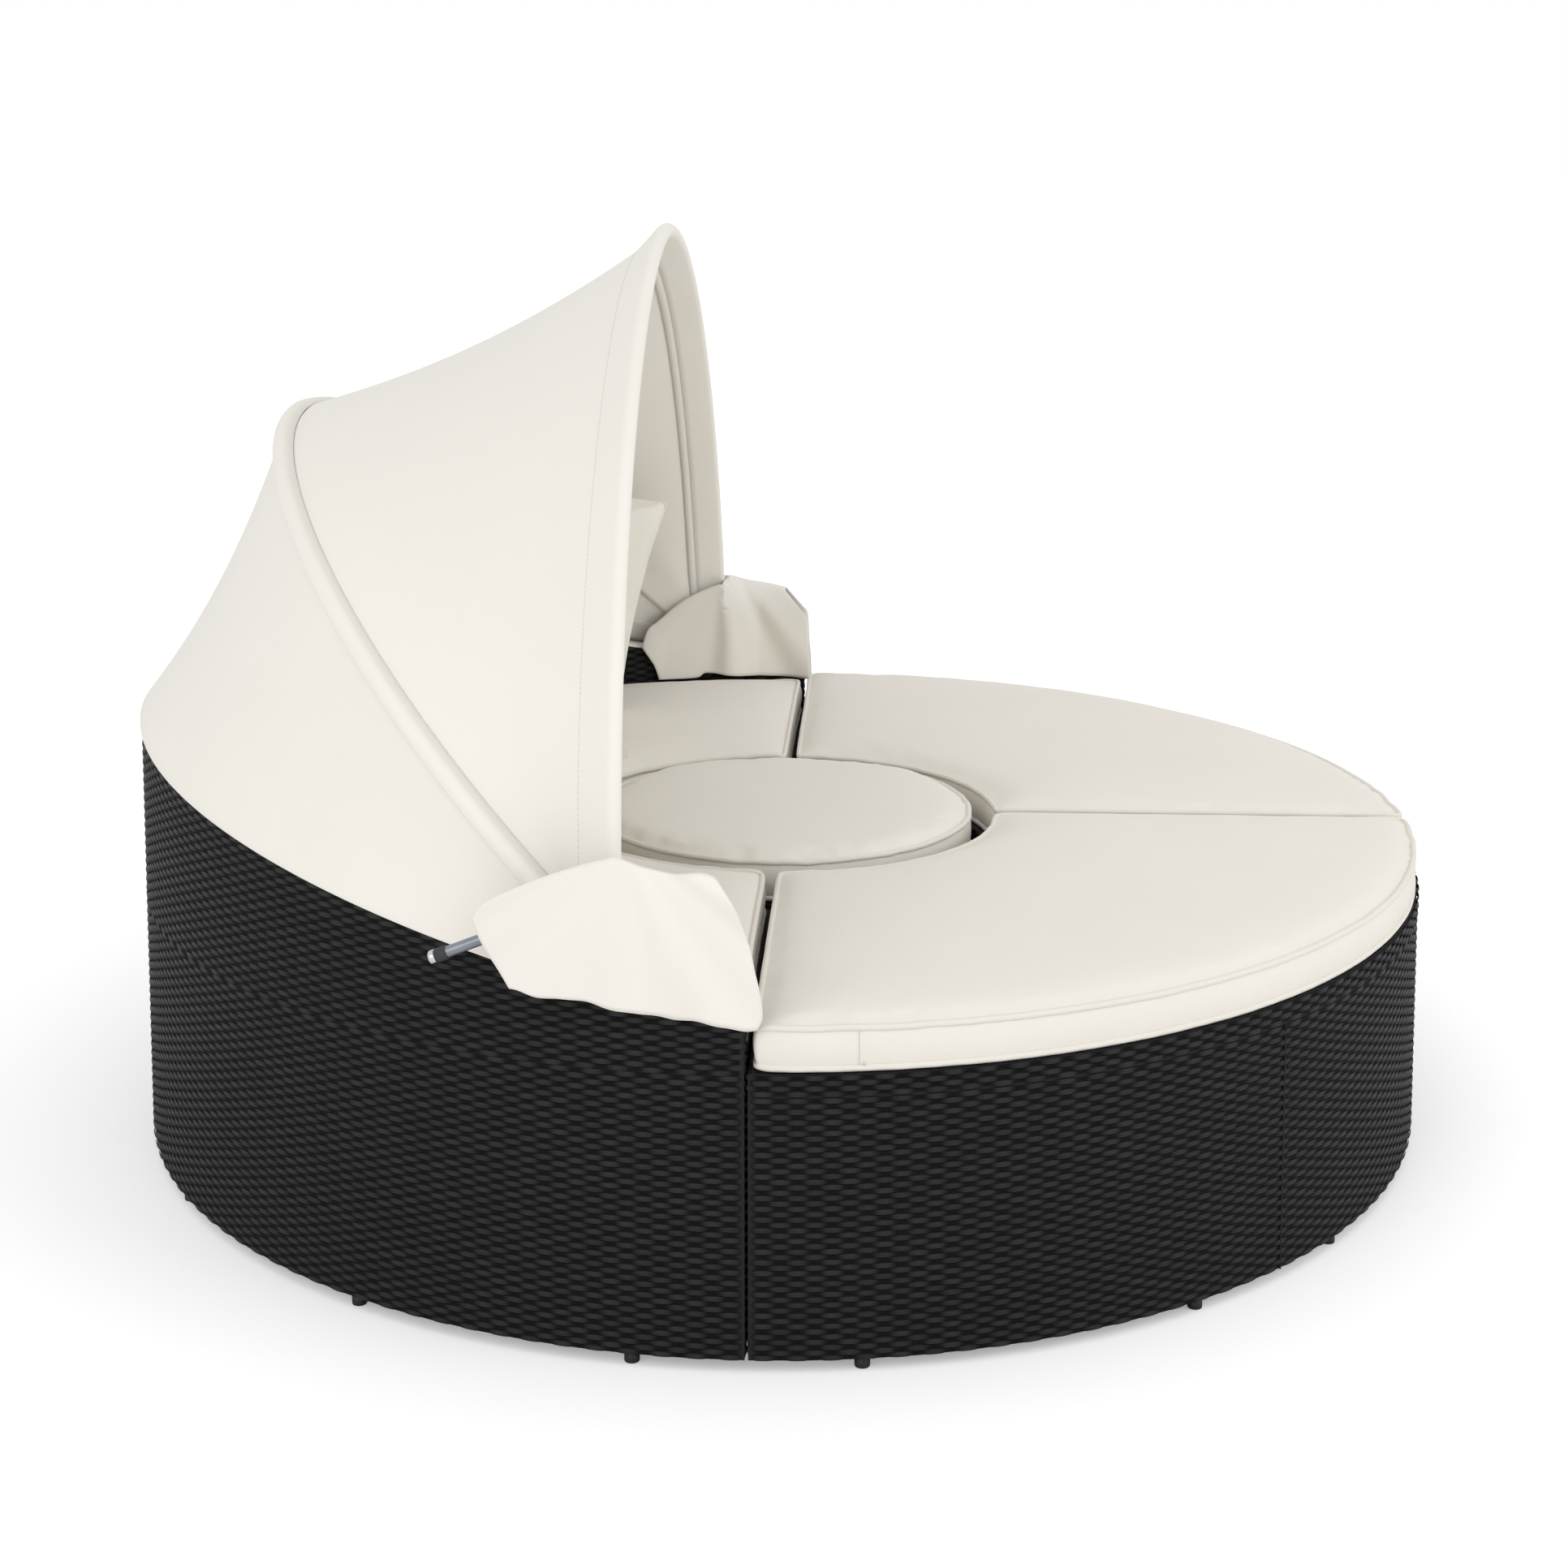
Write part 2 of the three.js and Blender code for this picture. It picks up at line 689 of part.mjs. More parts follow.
// A bent tube with a drilled eye at each end, on the hinge axis
function hoop(curve, halfWidth) {
  const eye = (start) =>
    turnedAcross(
      [
        [0, 0],
        [hoopRadius, 0],
        [hoopRadius, hoopTube],
        [0, hoopTube],
      ],
      turnedSides,
      start,
      pivotY,
      pivotHeight,
    );
  const drillReach = frontHoopHalfWidth + hoopTube + overrun;
  const drill = turnedAcross(
    [
      [0, 0],
      [boltRadius + boltHoleClearance, 0],
      [boltRadius + boltHoleClearance, 2 * drillReach],
      [0, 2 * drillReach],
    ],
    turnedSides,
    -drillReach,
    pivotY,
    pivotHeight,
  );
  const tube = tubeAlong(curve, hoopRadius, hoopSteps);
  const solid = join(tube, eye(halfWidth - hoopRadius), eye(-halfWidth - hoopRadius));
  return toGeometry(solid.subtract(toSolid(drill)));
}

// Directions at a point of a hoop: along it, across the cloth towards the rear, and outwards
function hoopFrame(pointAt, theta, towards) {
  const step = 0.001;
  const along = pointAt(theta + step).sub(pointAt(theta - step)).normalize();
  const rear = towards.clone().addScaledVector(along, -towards.dot(along)).normalize();
  const out = rear.clone().cross(along).normalize();
  return { centre: pointAt(theta), rear, out };
}

const offset = (frame, back, out) =>
  frame.centre.clone().addScaledVector(frame.rear, back).addScaledVector(frame.out, out);

const panelRows = hoopSteps - 2 * panelSkipSteps;

// Cloth rows stand on the same steps as the hoop's own facets, from the left arm to the right one
function panelAngle(curve, share) {
  const along = 1 - (panelSkipSteps + share * panelRows) / hoopSteps;
  return curve.getUtoTmapping(along) * halfTurn;
}

// The rim under the canopy's hem, from one arm round the back to the other
function rimPoint(share, radius, lift) {
  const start = Math.asin(bandStartY / wickerRadius);
  const angle = lerp(halfTurn - start, start, share);
  const y = radius * Math.sin(angle);
  return new THREE.Vector3(radius * Math.cos(angle), y, rimHeight(y) + lift);
}

const hemRadius = wickerRadius + hemGap + cloth;
const sleeveRadius = hoopRadius + sleeveGap + cloth;
const skinLevel = -hoopRadius - sleeveGap; // cloth's outer face under a hoop

// Frame on the middle hoop, halfway between the two panels that meet there
function midFrame(share) {
  const theta = panelAngle(midCurve, share);
  const centre = midPoint(theta);
  const front = frontPoint(panelAngle(frontCurve, share));
  const rearWay = rimPoint(share, hemRadius, 0).sub(centre).normalize();
  const frontWay = front.sub(centre).normalize();
  return hoopFrame(midPoint, theta, rearWay.sub(frontWay));
}

function frontFrame(share) {
  const theta = panelAngle(frontCurve, share);
  const towards = midPoint(panelAngle(midCurve, share)).sub(frontPoint(theta));
  return hoopFrame(frontPoint, theta, towards);
}

// Points between two ends of a panel, hanging slightly inwards
function sagging(start, end, out, sag) {
  const points = [];
  for (let i = 1; i < sagSteps; i++) {
    const share = i / sagSteps;
    const dip = -sag * 4 * share * (1 - share);
    points.push(start.clone().lerp(end, share).addScaledVector(out, dip));
  }
  return points;
}

// Points round a tube from one direction to another, seen along it
function wrap(frame, radius, from, to, steps) {
  const points = [];
  for (let i = 0; i <= steps; i++) {
    const angle = lerp(from, to, i / steps);
    points.push(offset(frame, radius * Math.cos(angle), radius * Math.sin(angle)));
  }
  return points;
}

function frontPanelSection(share) {
  const mid = midFrame(share);
  const front = frontFrame(share);
  const tail = offset(mid, 0, skinLevel);
  const seam = offset(mid, -sleeveRadius - sleeveFlange - cloth, skinLevel);
  const pocketLevel = skinLevel + cloth + clothGap;
  const pocketSeam = offset(front, frontPocket, pocketLevel);
  return [
    tail,
    seam,
    ...sagging(seam, pocketSeam, front.out, frontPanelSag * Math.sin(halfTurn * share)),
    pocketSeam,
    ...wrap(front, sleeveRadius, quarterTurn, halfTurn + quarterTurn, wrapSteps),
    offset(front, frontPocket, skinLevel - cloth),
  ];
}

function rearPanelSection(share) {
  const mid = midFrame(share);
  const hem = rimPoint(share, hemRadius, -hemDrop);
  const rim = rimPoint(share, hemRadius, 0);
  const flangeLevel = skinLevel + cloth + clothGap;
  const base = offset(mid, sleeveRadius + sleeveFlange, flangeLevel);
  return [
    hem,
    rim,
    ...sagging(rim, base, mid.out, rearPanelSag * Math.sin(halfTurn * share)),
    base,
    ...wrap(mid, sleeveRadius, -sleeveOverlap, halfTurn + sleeveOverlap, sleeveSteps),
    offset(mid, -sleeveRadius - sleeveFlange, flangeLevel),
  ];
}

function panelGeometry(sectionAt, rows) {
  const sections = [];
  for (let j = 0; j <= rows; j++) sections.push(sectionAt(j / rows));
  const columns = sections[0].length - 1;
  return sheetGeometry((i, j) => sections[j][i], columns, rows, cloth);
}

// Cloth over the top of the back wall, turned down at its inner edge
function rimBand() {
  const start = Math.asin(bandStartY / wickerRadius);
  const legInner = wallInner - clothGap - cloth;
  const arc = (inner, outer) => [
    ...arcPoints(outer, start, halfTurn - start, outerStepsPerQuarter),
    ...arcPoints(inner, halfTurn - start, start, outerStepsPerQuarter),
  ];
  const low = seatHeight;
  const high = rimRearHeight + overrun;
  const top = toSolid(extrudeUp(arc(legInner, wickerRadius - bandSetback), low, high)).intersect(
    slantBlock(seatedGap, seatedGap + cloth),
  );
  const leg = toSolid(extrudeUp(arc(legInner, legInner + cloth), low, high)).intersect(
    slantBlock(-bandDrop, seatedGap + cloth),
  );
  return toGeometry(top.add(leg));
}

// Hinge hardware, made for the right arm (+X)
function hingeBracket() {
  const baseLow = seatedGap;
  const point = (y, lift) => new THREE.Vector2(y, rimHeight(y) + lift);
  const baseStart = pivotY - earBaseLength / 2;
  const baseEnd = pivotY + earBaseLength / 2;
  const base = extrudeAcross(
    [
      point(baseStart, baseLow),
      point(baseEnd, baseLow),
      point(baseEnd, baseLow + earBaseThickness),
      point(baseStart, baseLow + earBaseThickness),
    ],
    earX - earBaseWidth / 2,
    earX + earBaseWidth / 2,
  );
  const top = arcPoints(earRadius, 0, halfTurn, turnedSides / 4).map(
    (p) => new THREE.Vector2(pivotY + p.x, pivotHeight + p.y),
  );
  const ear = extrudeAcross(
    [point(pivotY - earRadius, baseLow), point(pivotY + earRadius, baseLow), ...top],
    earX - earThickness / 2,
    earX + earThickness / 2,
  );
  const hole = turnedAcross(
    [
      [0, 0],
      [boltRadius + seatedGap, 0],
      [boltRadius + seatedGap, 2 * earBaseWidth],
      [0, 2 * earBaseWidth],
    ],
    turnedSides,
    earX - earBaseWidth,
    pivotY,
    pivotHeight,
  );
  return toGeometry(join(base, ear).subtract(toSolid(hole)));
}

const boltStart = midHoopHalfWidth - hoopRadius - seatedGap - boltHead;

function hingeBolt() {
  const shankEnd = stayX + stayThickness - boltStart;
  return turnedAcross(
    [
      [0, 0],
      [boltHeadRadius, 0],
      [boltHeadRadius, boltHead],
      [boltRadius, boltHead],
      [boltRadius, shankEnd],
      [0, shankEnd],
    ],
    turnedSides,
    boltStart,
    pivotY,
    pivotHeight,
  );
}

function fixingKnob() {
  const angle = Math.asin((pivotY + knobBack) / wallInner);
  const face = wallInner * Math.cos(quarterTurn / outerStepsPerQuarter / 2) - seatedGap;
  return turned(
    [
      [0, 0],
      [knobRadius - knobGrip, 0],
      [knobRadius, knobGrip],
      [knobRadius, knobLength - knobGrip],
      [knobRadius - knobGrip, knobLength],
      [0, knobLength],
    ],
    turnedSides,
  )
    .rotateZ(quarterTurn)
    .translate(face, 0, rimFrontHeight + knobRise)
    .rotateZ(angle);
}

// Flat bar from the hinge bolt up to the arm tube, with a tapped boss
function armStay() {
  const half = stayWidth / 2;
  const foot = arcPoints(half, halfTurn, 2 * halfTurn, turnedSides / 4).map(
    (p) => new THREE.Vector2(pivotY + p.x, pivotHeight + p.y),
  );
  const top = armCrestHeight;
  const bar = extrudeAcross(
    [...foot, new THREE.Vector2(pivotY + half, top), new THREE.Vector2(pivotY - half, top)],
    stayX,
    stayX + stayThickness,
  );
  const boss = turnedAcross(
    [
      [0, 0],
      [bossRadius, 0],
      [bossRadius, bossLength],
      [0, bossLength],
    ],
    turnedSides,
    stayX,
    pivotY,
    pivotHeight,
  );
  const bore = turnedAcross(
    [
      [0, 0],
      [boltRadius + seatedGap, 0],
      [boltRadius + seatedGap, bossLength],
      [0, bossLength],
    ],
    turnedSides,
    stayX - seatedGap,
    pivotY,
    pivotHeight,
  );
  return toGeometry(join(bar, boss).subtract(toSolid(bore)));
}

// Centre line of the arm tube: up from the arm's front end, over the hinge and down behind it
function armCurve() {
  const foot = rimHeight(armFootY) + armFootLift;
  const end = new THREE.Vector3(armEndX, armEndY, armEndHeight);
  const bendX = lerp(armFootX, armX, armBendShare);
  const bendY = (armFootY + armCornerY) / 2;
  const crest = new THREE.Vector3(armX, pivotY, armCrestHeight);
  return new THREE.CatmullRomCurve3(
    [
      new THREE.Vector3(armFootX, armFootY, foot),
      new THREE.Vector3(armFootX, bendY, lerp(foot, armCornerHeight, armBendShare)),
      new THREE.Vector3(armFootX, armCornerY, armCornerHeight),
      new THREE.Vector3(bendX, (armCornerY + pivotY) / 2, armCrestHeight),
      crest,
      crest.clone().add(end).divideScalar(2),
      end,
    ],
    false,
    "centripetal",
  );
}

// A turned piece set along the end of the arm tube, measured outwards from that end
function onArmEnd(profile, start) {
  const curve = armCurve();
  const way = curve.getTangent(1);
  const turn = new THREE.Quaternion().setFromUnitVectors(new THREE.Vector3(0, 1, 0), way);
  const place = curve.getPoint(1).addScaledVector(way, start);
  return turned(profile, turnedSides).applyQuaternion(turn).translate(...place.toArray());
}

function armCollar() {
  const bore = armRadius + seatedGap;
  return onArmEnd(
    [
      [bore, 0],
      [collarRadius, 0],
      [collarRadius, collarLength],
      [bore, collarLength],
      [bore, 0],
    ],
    -collarLength,
  );
}

function armPlug() {
  return onArmEnd(
    [
      [0, 0],
      [collarRadius, 0],
      [collarRadius, plugLength - plugRound],
      [collarRadius - plugRound, plugLength],
      [0, plugLength],
    ],
    seatedGap,
  );
}

// Hinge flap: outer leaf, fold over the arm tube, inner leaf, open behind the peak for the hoops
const flapRows = flapRearSteps + flapFrontSteps;

const between = ([y, z], [otherY, otherZ], share) => [lerp(y, otherY, share), lerp(z, otherZ, share)];

// Y and height along a leaf's top edge, which climbs to its peak and falls to the front corner
function flapTop(row, outer) {
  const place = ([y, z]) => [pivotY + y, armCrestHeight + z];
  const rear = place(outer ? flapOuterRear : flapInnerRear);
  const peak = place(outer ? flapOuterPeak : flapInnerPeak);
  const corner = [armCornerY + flapCorner[0], armCornerHeight + flapCorner[1]];
  if (row <= flapRearSteps) return between(rear, peak, row / flapRearSteps);
  return between(peak, corner, (row - flapRearSteps) / flapFrontSteps);
}

function flapHem(share, outer) {
  const rear = outer ? flapOuterHemRear : flapInnerHemRear;
  const front = outer ? flapOuterHemFront : flapInnerHemFront;
  return between(
    [pivotY + rear[0], rimFrontHeight + rear[1]],
    [armFootY + front[0], rimFrontHeight + front[1]],
    share,
  );
}

function armTubeX(y) {
  if (y < pivotY) {
    const share = THREE.MathUtils.clamp((y - armCornerY) / (pivotY - armCornerY), 0, 1);
    return lerp(armFootX, armX, Math.min(1, share * armSettleShare));
  }
  return lerp(armX, armEndX, (y - pivotY) / (armEndY - pivotY));
}

function chordX(radius, y) {
  return Math.sqrt(radius * radius - y * y);
}

// Inner side of everything that swings, at this distance from the hinge axis
function swingX(y, z) {
  const share = Math.hypot(y - pivotY, z - pivotHeight) / midHoopReach;
  const width = midHoopHalfWidth * (1 - share ** hoopPowerShare) ** (1 / hoopPowerShare);
  return width - hoopRadius - boltHead;
}

function flapPoint(column, row) {
  const share = row / flapRows;
  const outer = column <= leafSteps;
  const rise = outer ? column / leafSteps : (2 * leafSteps + 1 - column) / leafSteps;
  const [level, z] = between(flapHem(share, outer), flapTop(row, outer), rise);
  const bow = lerp(flapRearBulge, -flapFrontBulge, share) * Math.sin(halfTurn * rise ** bowPowerShare);
  const y = level + bow;
  const wave = (1 + Math.cos(2 * halfTurn * flapFoldCount * share)) / 2;
  const fold = flapFold * wave * (1 - rise);
  const turnIn = rise ** flapTopPowerShare;
  const tube = armTubeX(y);
  const spread = armRadius + flapClear + cloth;
  if (outer) {
    const wall = chordX(wickerRadius, y) + flapClear + cloth;
    const beside = Math.max(wall, tube + spread);
    return new THREE.Vector3(lerp(beside, tube + flapTopShare * spread, turnIn) + fold, y, z);
  }
  const wall = chordX(wallInner, y) - 2 * flapClear;
  const hoopSide = swingX(y, z) - flapClear;
  const beside = Math.min(wall, hoopSide);
  const over = row > flapRearSteps ? tube - flapTopShare * spread : hoopSide;
  return new THREE.Vector3(lerp(beside, over, turnIn) - fold, y, z);
}

function hingeFlap() {
  const keep = (column, row) => column !== leafSteps || row >= flapRearSteps;
  return sheetGeometry(flapPoint, 2 * leafSteps + 1, flapRows, cloth, keep);
}

// Materials
const finish = (color, roughness, metalness = 0) => ({ color, roughness, metalness });
const finishes = {
  wicker: finish(0x2a2a2b, 0.6),
  steel: finish(0x3a3c3e, 0.5, 0.6),
  webbing: finish(0x1d1d1e, 0.8),
  foot: finish(0x101010, 0.5),
  cushion: finish(0xe9e4da, 0.9),
  canopy: finish(0xf0ebe1, 0.9),
  hoop: finish(0x8b9096, 0.4, 0.7),
  bracket: finish(0x2b2d2f, 0.5, 0.6),
  knob: finish(0x151515, 0.6),
  tube: finish(0x868c92, 0.4, 0.7),
  collar: finish(0x3c3f42, 0.6),
  plug: finish(0xd3d6d9, 0.3, 0.9),
};

const daybed = new THREE.Group();

function add(parent, name, geometry, kind) {
  const mesh = new THREE.Mesh(geometry, new THREE.MeshStandardMaterial(finishes[kind]));
  mesh.name = name;
  parent.add(mesh);
  return mesh;
}

function addFeet(prefix, places) {
  places.forEach(([angle, radius], i) => {
    const mesh = add(daybed, `${prefix}_foot_${i + 1}`, foot(), "foot");
    mesh.position.set(radius * Math.cos(angle), radius * Math.sin(angle), 0);
  });
}

function addSofa() {
  const right = sofaFootTurns.map(degrees);
  const outer = [...right, ...right.map((angle) => halfTurn - angle).reverse()];
  const bay = [quarterTurn];
  add(daybed, "sofa_frame", sofaFrame(outer, bay), "steel");
  add(daybed, "sofa_wicker_outer", outerWicker(), "wicker");
  add(daybed, "sofa_wicker_front", frontWicker(), "wicker");
  add(daybed, "sofa_wicker_inner", innerWicker(), "wicker");
  add(daybed, "sofa_deck", sofaDeck(), "webbing");
  const edge = wallInner - seatSetback;
  const inner = bayRadius + seatSetback;
  const seat = sliceCushion(inner, edge, 0, halfTurn, ...seatCushionSteps);
  add(daybed, "sofa_seat_cushion", seat, "cushion");
  const feet = [...outer.map((angle) => [angle, outerPost]), ...bay.map((angle) => [angle, bayPost])];
  addFeet("sofa", feet);
}

function addPillow() {
  const mesh = add(daybed, "throw_pillow", pillowGeometry(pillowSteps), "cushion");
  const yaw = degrees(pillowYawDegrees);
  const lean = degrees(pillowLeanDegrees);
  const level = new THREE.Vector3(-Math.cos(yaw), -Math.sin(yaw), 0);
  const up = new THREE.Vector3(0, 0, 1);
  const face = level.clone().multiplyScalar(Math.cos(lean)).addScaledVector(up, Math.sin(lean));
  const side = up.clone().cross(face).normalize();
  const tall = face.clone().cross(side);
  mesh.rotation.setFromRotationMatrix(new THREE.Matrix4().makeBasis(side, tall, face));
  mesh.rotateZ(-degrees(pillowRollDegrees));
  const out = wallInner - pillowFromWall;
  const turn = degrees(pillowTurnDegrees);
  const bed = seatHeight + cushionThickness + cushionCrown * pillowBedShare;
  const lowest = new THREE.Box3().setFromObject(mesh, true).min.z;
  mesh.position.set(out * Math.cos(turn), out * Math.sin(turn), bed + seatedGap - lowest);
}

function addOttoman(side, from, to) {
  const turns = ottomanFootTurns.map(degrees);
  const outer = [...turns.map((turn) => from + turn), ...turns.map((turn) => to - turn).reverse()];
  const bay = [(from + to) / 2];
  const name = `ottoman_${side}`;
  add(daybed, `${name}_frame`, toGeometry(moduleFrame(from, to, outer, bay)), "steel");
  add(daybed, `${name}_wicker`, ottomanWicker(from, to), "wicker");
  add(daybed, `${name}_deck`, ottomanDeck(from, to), "webbing");
  const inner = bayRadius + seatSetback;
  const edge = wickerRadius - cushionSetback;
  const cushion = sliceCushion(inner, edge, from, to, ...ottomanCushionSteps);
  add(daybed, `${name}_cushion`, cushion, "cushion");
  addFeet(name, [...outer.map((angle) => [angle, outerPost]), ...bay.map((angle) => [angle, bayPost])]);
}

function addTable() {
  const angles = tableFootTurns.map(degrees);
  add(daybed, "table_frame", tableFrame(angles), "steel");
  add(daybed, "table_wicker", tableWicker(), "wicker");
  add(daybed, "table_deck", tableDeck(), "webbing");
  add(daybed, "table_cushion", tableCushion(), "cushion");
  addFeet("table", angles.map((angle) => [angle, tablePost]));
}

function addCanopy() {
  add(daybed, "canopy_mid_hoop", hoop(midCurve, midHoopHalfWidth), "hoop");
  add(daybed, "canopy_front_hoop", hoop(frontCurve, frontHoopHalfWidth), "hoop");
  add(daybed, "canopy_front_panel", panelGeometry(frontPanelSection, panelRows), "canopy");
  add(daybed, "canopy_rear_panel", panelGeometry(rearPanelSection, panelRows), "canopy");
  add(daybed, "canopy_rim_band", rimBand(), "canopy");
}

function addArm(side, mirror) {
  const arm = new THREE.Group();
  arm.scale.x = mirror;
  daybed.add(arm);
  add(arm, `hinge_bracket_${side}`, hingeBracket(), "bracket");
  add(arm, `hinge_bolt_${side}`, hingeBolt(), "bracket");
  add(arm, `fixing_knob_${side}`, fixingKnob(), "knob");
  add(arm, `arm_stay_${side}`, armStay(), "bracket");
  add(arm, `arm_tube_${side}`, tubeAlong(armCurve(), armRadius, armSteps), "tube");
  add(arm, `arm_collar_${side}`, armCollar(), "collar");
  add(arm, `arm_plug_${side}`, armPlug(), "plug");
  add(arm, `hinge_flap_${side}`, hingeFlap(), "canopy");
}

addSofa();
addPillow();
addOttoman("right", -quarterTurn, 0);
addOttoman("left", halfTurn, halfTurn + quarterTurn);
addTable();
addCanopy();
addArm("right", 1);
addArm("left", -1);

export default daybed;
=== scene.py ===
"""Round woven daybed with a folding canopy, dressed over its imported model."""

import math

import bmesh
import bpy
import numpy as np
from bpy.props import FloatProperty, FloatVectorProperty, PointerProperty
from mathutils import Matrix, Vector, noise
from mathutils.bvhtree import BVHTree


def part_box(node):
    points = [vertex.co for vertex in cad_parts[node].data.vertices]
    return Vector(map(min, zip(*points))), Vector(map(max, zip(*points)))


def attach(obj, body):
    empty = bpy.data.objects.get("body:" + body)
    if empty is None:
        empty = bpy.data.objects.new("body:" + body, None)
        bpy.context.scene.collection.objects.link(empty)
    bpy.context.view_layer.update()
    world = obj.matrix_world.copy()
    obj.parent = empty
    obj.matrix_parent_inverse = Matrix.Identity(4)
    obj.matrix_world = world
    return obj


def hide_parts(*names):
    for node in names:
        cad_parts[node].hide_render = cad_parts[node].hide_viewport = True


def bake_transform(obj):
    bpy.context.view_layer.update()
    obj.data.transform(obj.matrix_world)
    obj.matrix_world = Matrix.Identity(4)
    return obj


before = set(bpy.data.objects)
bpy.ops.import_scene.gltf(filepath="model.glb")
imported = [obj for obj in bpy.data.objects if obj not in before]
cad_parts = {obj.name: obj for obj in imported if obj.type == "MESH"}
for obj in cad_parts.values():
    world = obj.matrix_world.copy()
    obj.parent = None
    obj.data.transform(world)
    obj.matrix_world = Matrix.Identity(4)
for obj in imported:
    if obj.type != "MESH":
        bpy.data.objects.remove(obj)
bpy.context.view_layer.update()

bl_info = {
    "name": "Woven daybed with canopy",
    "version": (1, 0, 0),
    "blender": (4, 5, 0),
    "location": "View3D > Sidebar > Daybed",
    "description": "Builds the cloth, cushions, weave and fittings of a round daybed",
    "category": "Object",
}

MM = 0.001

# Sizes taken from the frame, in metres
WICKER_R, _, RIM_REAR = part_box("sofa_wicker_outer")[1]
WALL_R, _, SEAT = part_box("sofa_deck")[1]
FOOT_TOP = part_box("sofa_foot_1")[1].z
TABLE_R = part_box("table_wicker")[1].x

# Sizes of the solids that their boxes don't give
PIVOT_Y, PIVOT_Z = 0.150, 0.456
BAY_R = 0.298
JOINT_FACE = 0.002
RIM_FRONT = 0.407
RIM_RISE = (RIM_REAR - RIM_FRONT) / WICKER_R
HOOP_TUBE_R = 0.008
HOOP_POWER = 1.87
HOOP_STEPS = 36
MID_HALF, MID_REACH, MID_TILT = 0.853, 0.761, math.radians(45.7)
FRONT_HALF, FRONT_REACH, FRONT_TILT = 0.875, 0.788, math.radians(1.2)
ARM_TUBE_R = 0.0065
ARM_X, ARM_FOOT_X = 0.9023, 0.883
ARM_FOOT_Y, ARM_BEND_Y, ARM_TOP_Y, ARM_END_Y = 0.012, 0.038, 0.094, 0.343
ARM_BEND_Z, ARM_TOP_Z, ARM_END_Z = 0.550, 0.560, 0.481
ARM_END_IN = 0.014

# Weave: the groove under an ottoman's or the table's upper rows, and one strand's form
GROOVE_Z, GROOVE = 0.3237, 2 * MM
UPPER_PITCH, UPPER_STAND = 6.2 * MM, 3.2 * MM
STRAND_STAND = 2.0 * MM
STRAND_BOW = 2.8 * MM
STRAND_LIFT = 0.4 * MM
NARROWEST_SHARE = 0.72
DIP_START_SHARE, DIP_END_SHARE = 0.12, 0.45
RIM_CLEAR = 0.6 * MM
CORNER_CUT = 6 * MM

# Canopy cloth and its sewing
CLOTH = 1.6 * MM
SLEEVE_GAP = 1.2 * MM
SLEEVE_R = HOOP_TUBE_R + SLEEVE_GAP + CLOTH
SLEEVE_FLANGE = 6 * MM
SLEEVE_SIDE = SLEEVE_R + SLEEVE_FLANGE
SKIN_LEVEL = -HOOP_TUBE_R - SLEEVE_GAP
SEWN_LEVEL = SKIN_LEVEL + CLOTH + 0.5 * MM
FRONT_POCKET = 46 * MM
BINDING = 13 * MM
HEM_R = WICKER_R + 4 * MM
HEM_DROP = 4 * MM
INNER_HEM = 42 * MM
BAND_DROP = 2 * MM
BAND_START = 0.192
SHARES = np.linspace(0, 1, 181)
HANG_STEPS = 34
PULL_DEPTH = 2.6 * MM
STITCH_STEP = 6 * MM

# Cushions: where the boxing's seams lie, and the gap beside a neighbour
CORNER_PULL = 3 * MM
BULGE = 4 * MM
SEAM_IN = 5 * MM
SEAM_DIP = 5 * MM
CORD_DROP = 1.5 * MM
BASE_RISE = 3 * MM
SIDE_GAP = 2.4 * MM
REACH_OUT = 3 * MM
PLAN_GAP = 5 * MM
CUSHION_LOW, CUSHION_HIGH, TABLE_PAD_HIGH = SEAT + 0.3 * MM, SEAT + 57.5 * MM, SEAT + 61 * MM
AIR_STEPS = 20

# Strength of the floor's own light to the camera, near and far
FLOOR_LIFT_NEAR, FLOOR_LIFT_FAR = 0.31, 0.44


def rim_height(y):
    return RIM_FRONT + RIM_RISE * y


def length_property(name, description, default):
    return FloatProperty(name=name, description=description, default=default, unit="LENGTH")


def colour_property(name, description, default):
    return FloatVectorProperty(name=name, description=description, default=default, subtype="COLOR")


class DaybedSizes(bpy.types.PropertyGroup):
    """Sizes of the weave and the sewing"""

    row_pitch: length_property("Row pitch", "Height of one woven row", 0.0063)
    float_period: length_property("Float period", "Length from one float to the next", 0.03918)
    strand_width: length_property("Strand width", "Width of one flat strand", 0.0059)
    piping_radius: length_property("Piping radius", "Radius of the cushions' piping", 0.0040)
    crown: length_property("Crown", "Rise of a cushion's top over its edges", 0.009)
    flap_fold: length_property("Flap fold", "Depth of the folds at a flap's hem", 0.009)


class DaybedColours(bpy.types.PropertyGroup):
    """Base colours of the finishes"""

    cushion: colour_property("Cushion", "Cushion cloth", (0.82, 0.785, 0.715))
    canopy: colour_property("Canopy", "Canopy cloth", (0.85, 0.818, 0.755))
    wicker: colour_property("Wicker", "Woven strand", (0.0070, 0.0070, 0.0072))
    tube: colour_property("Tube", "Arm and canopy tube", (0.25, 0.27, 0.30))
    floor: colour_property("Floor", "Floor of the stage", (0.86, 0.86, 0.86))


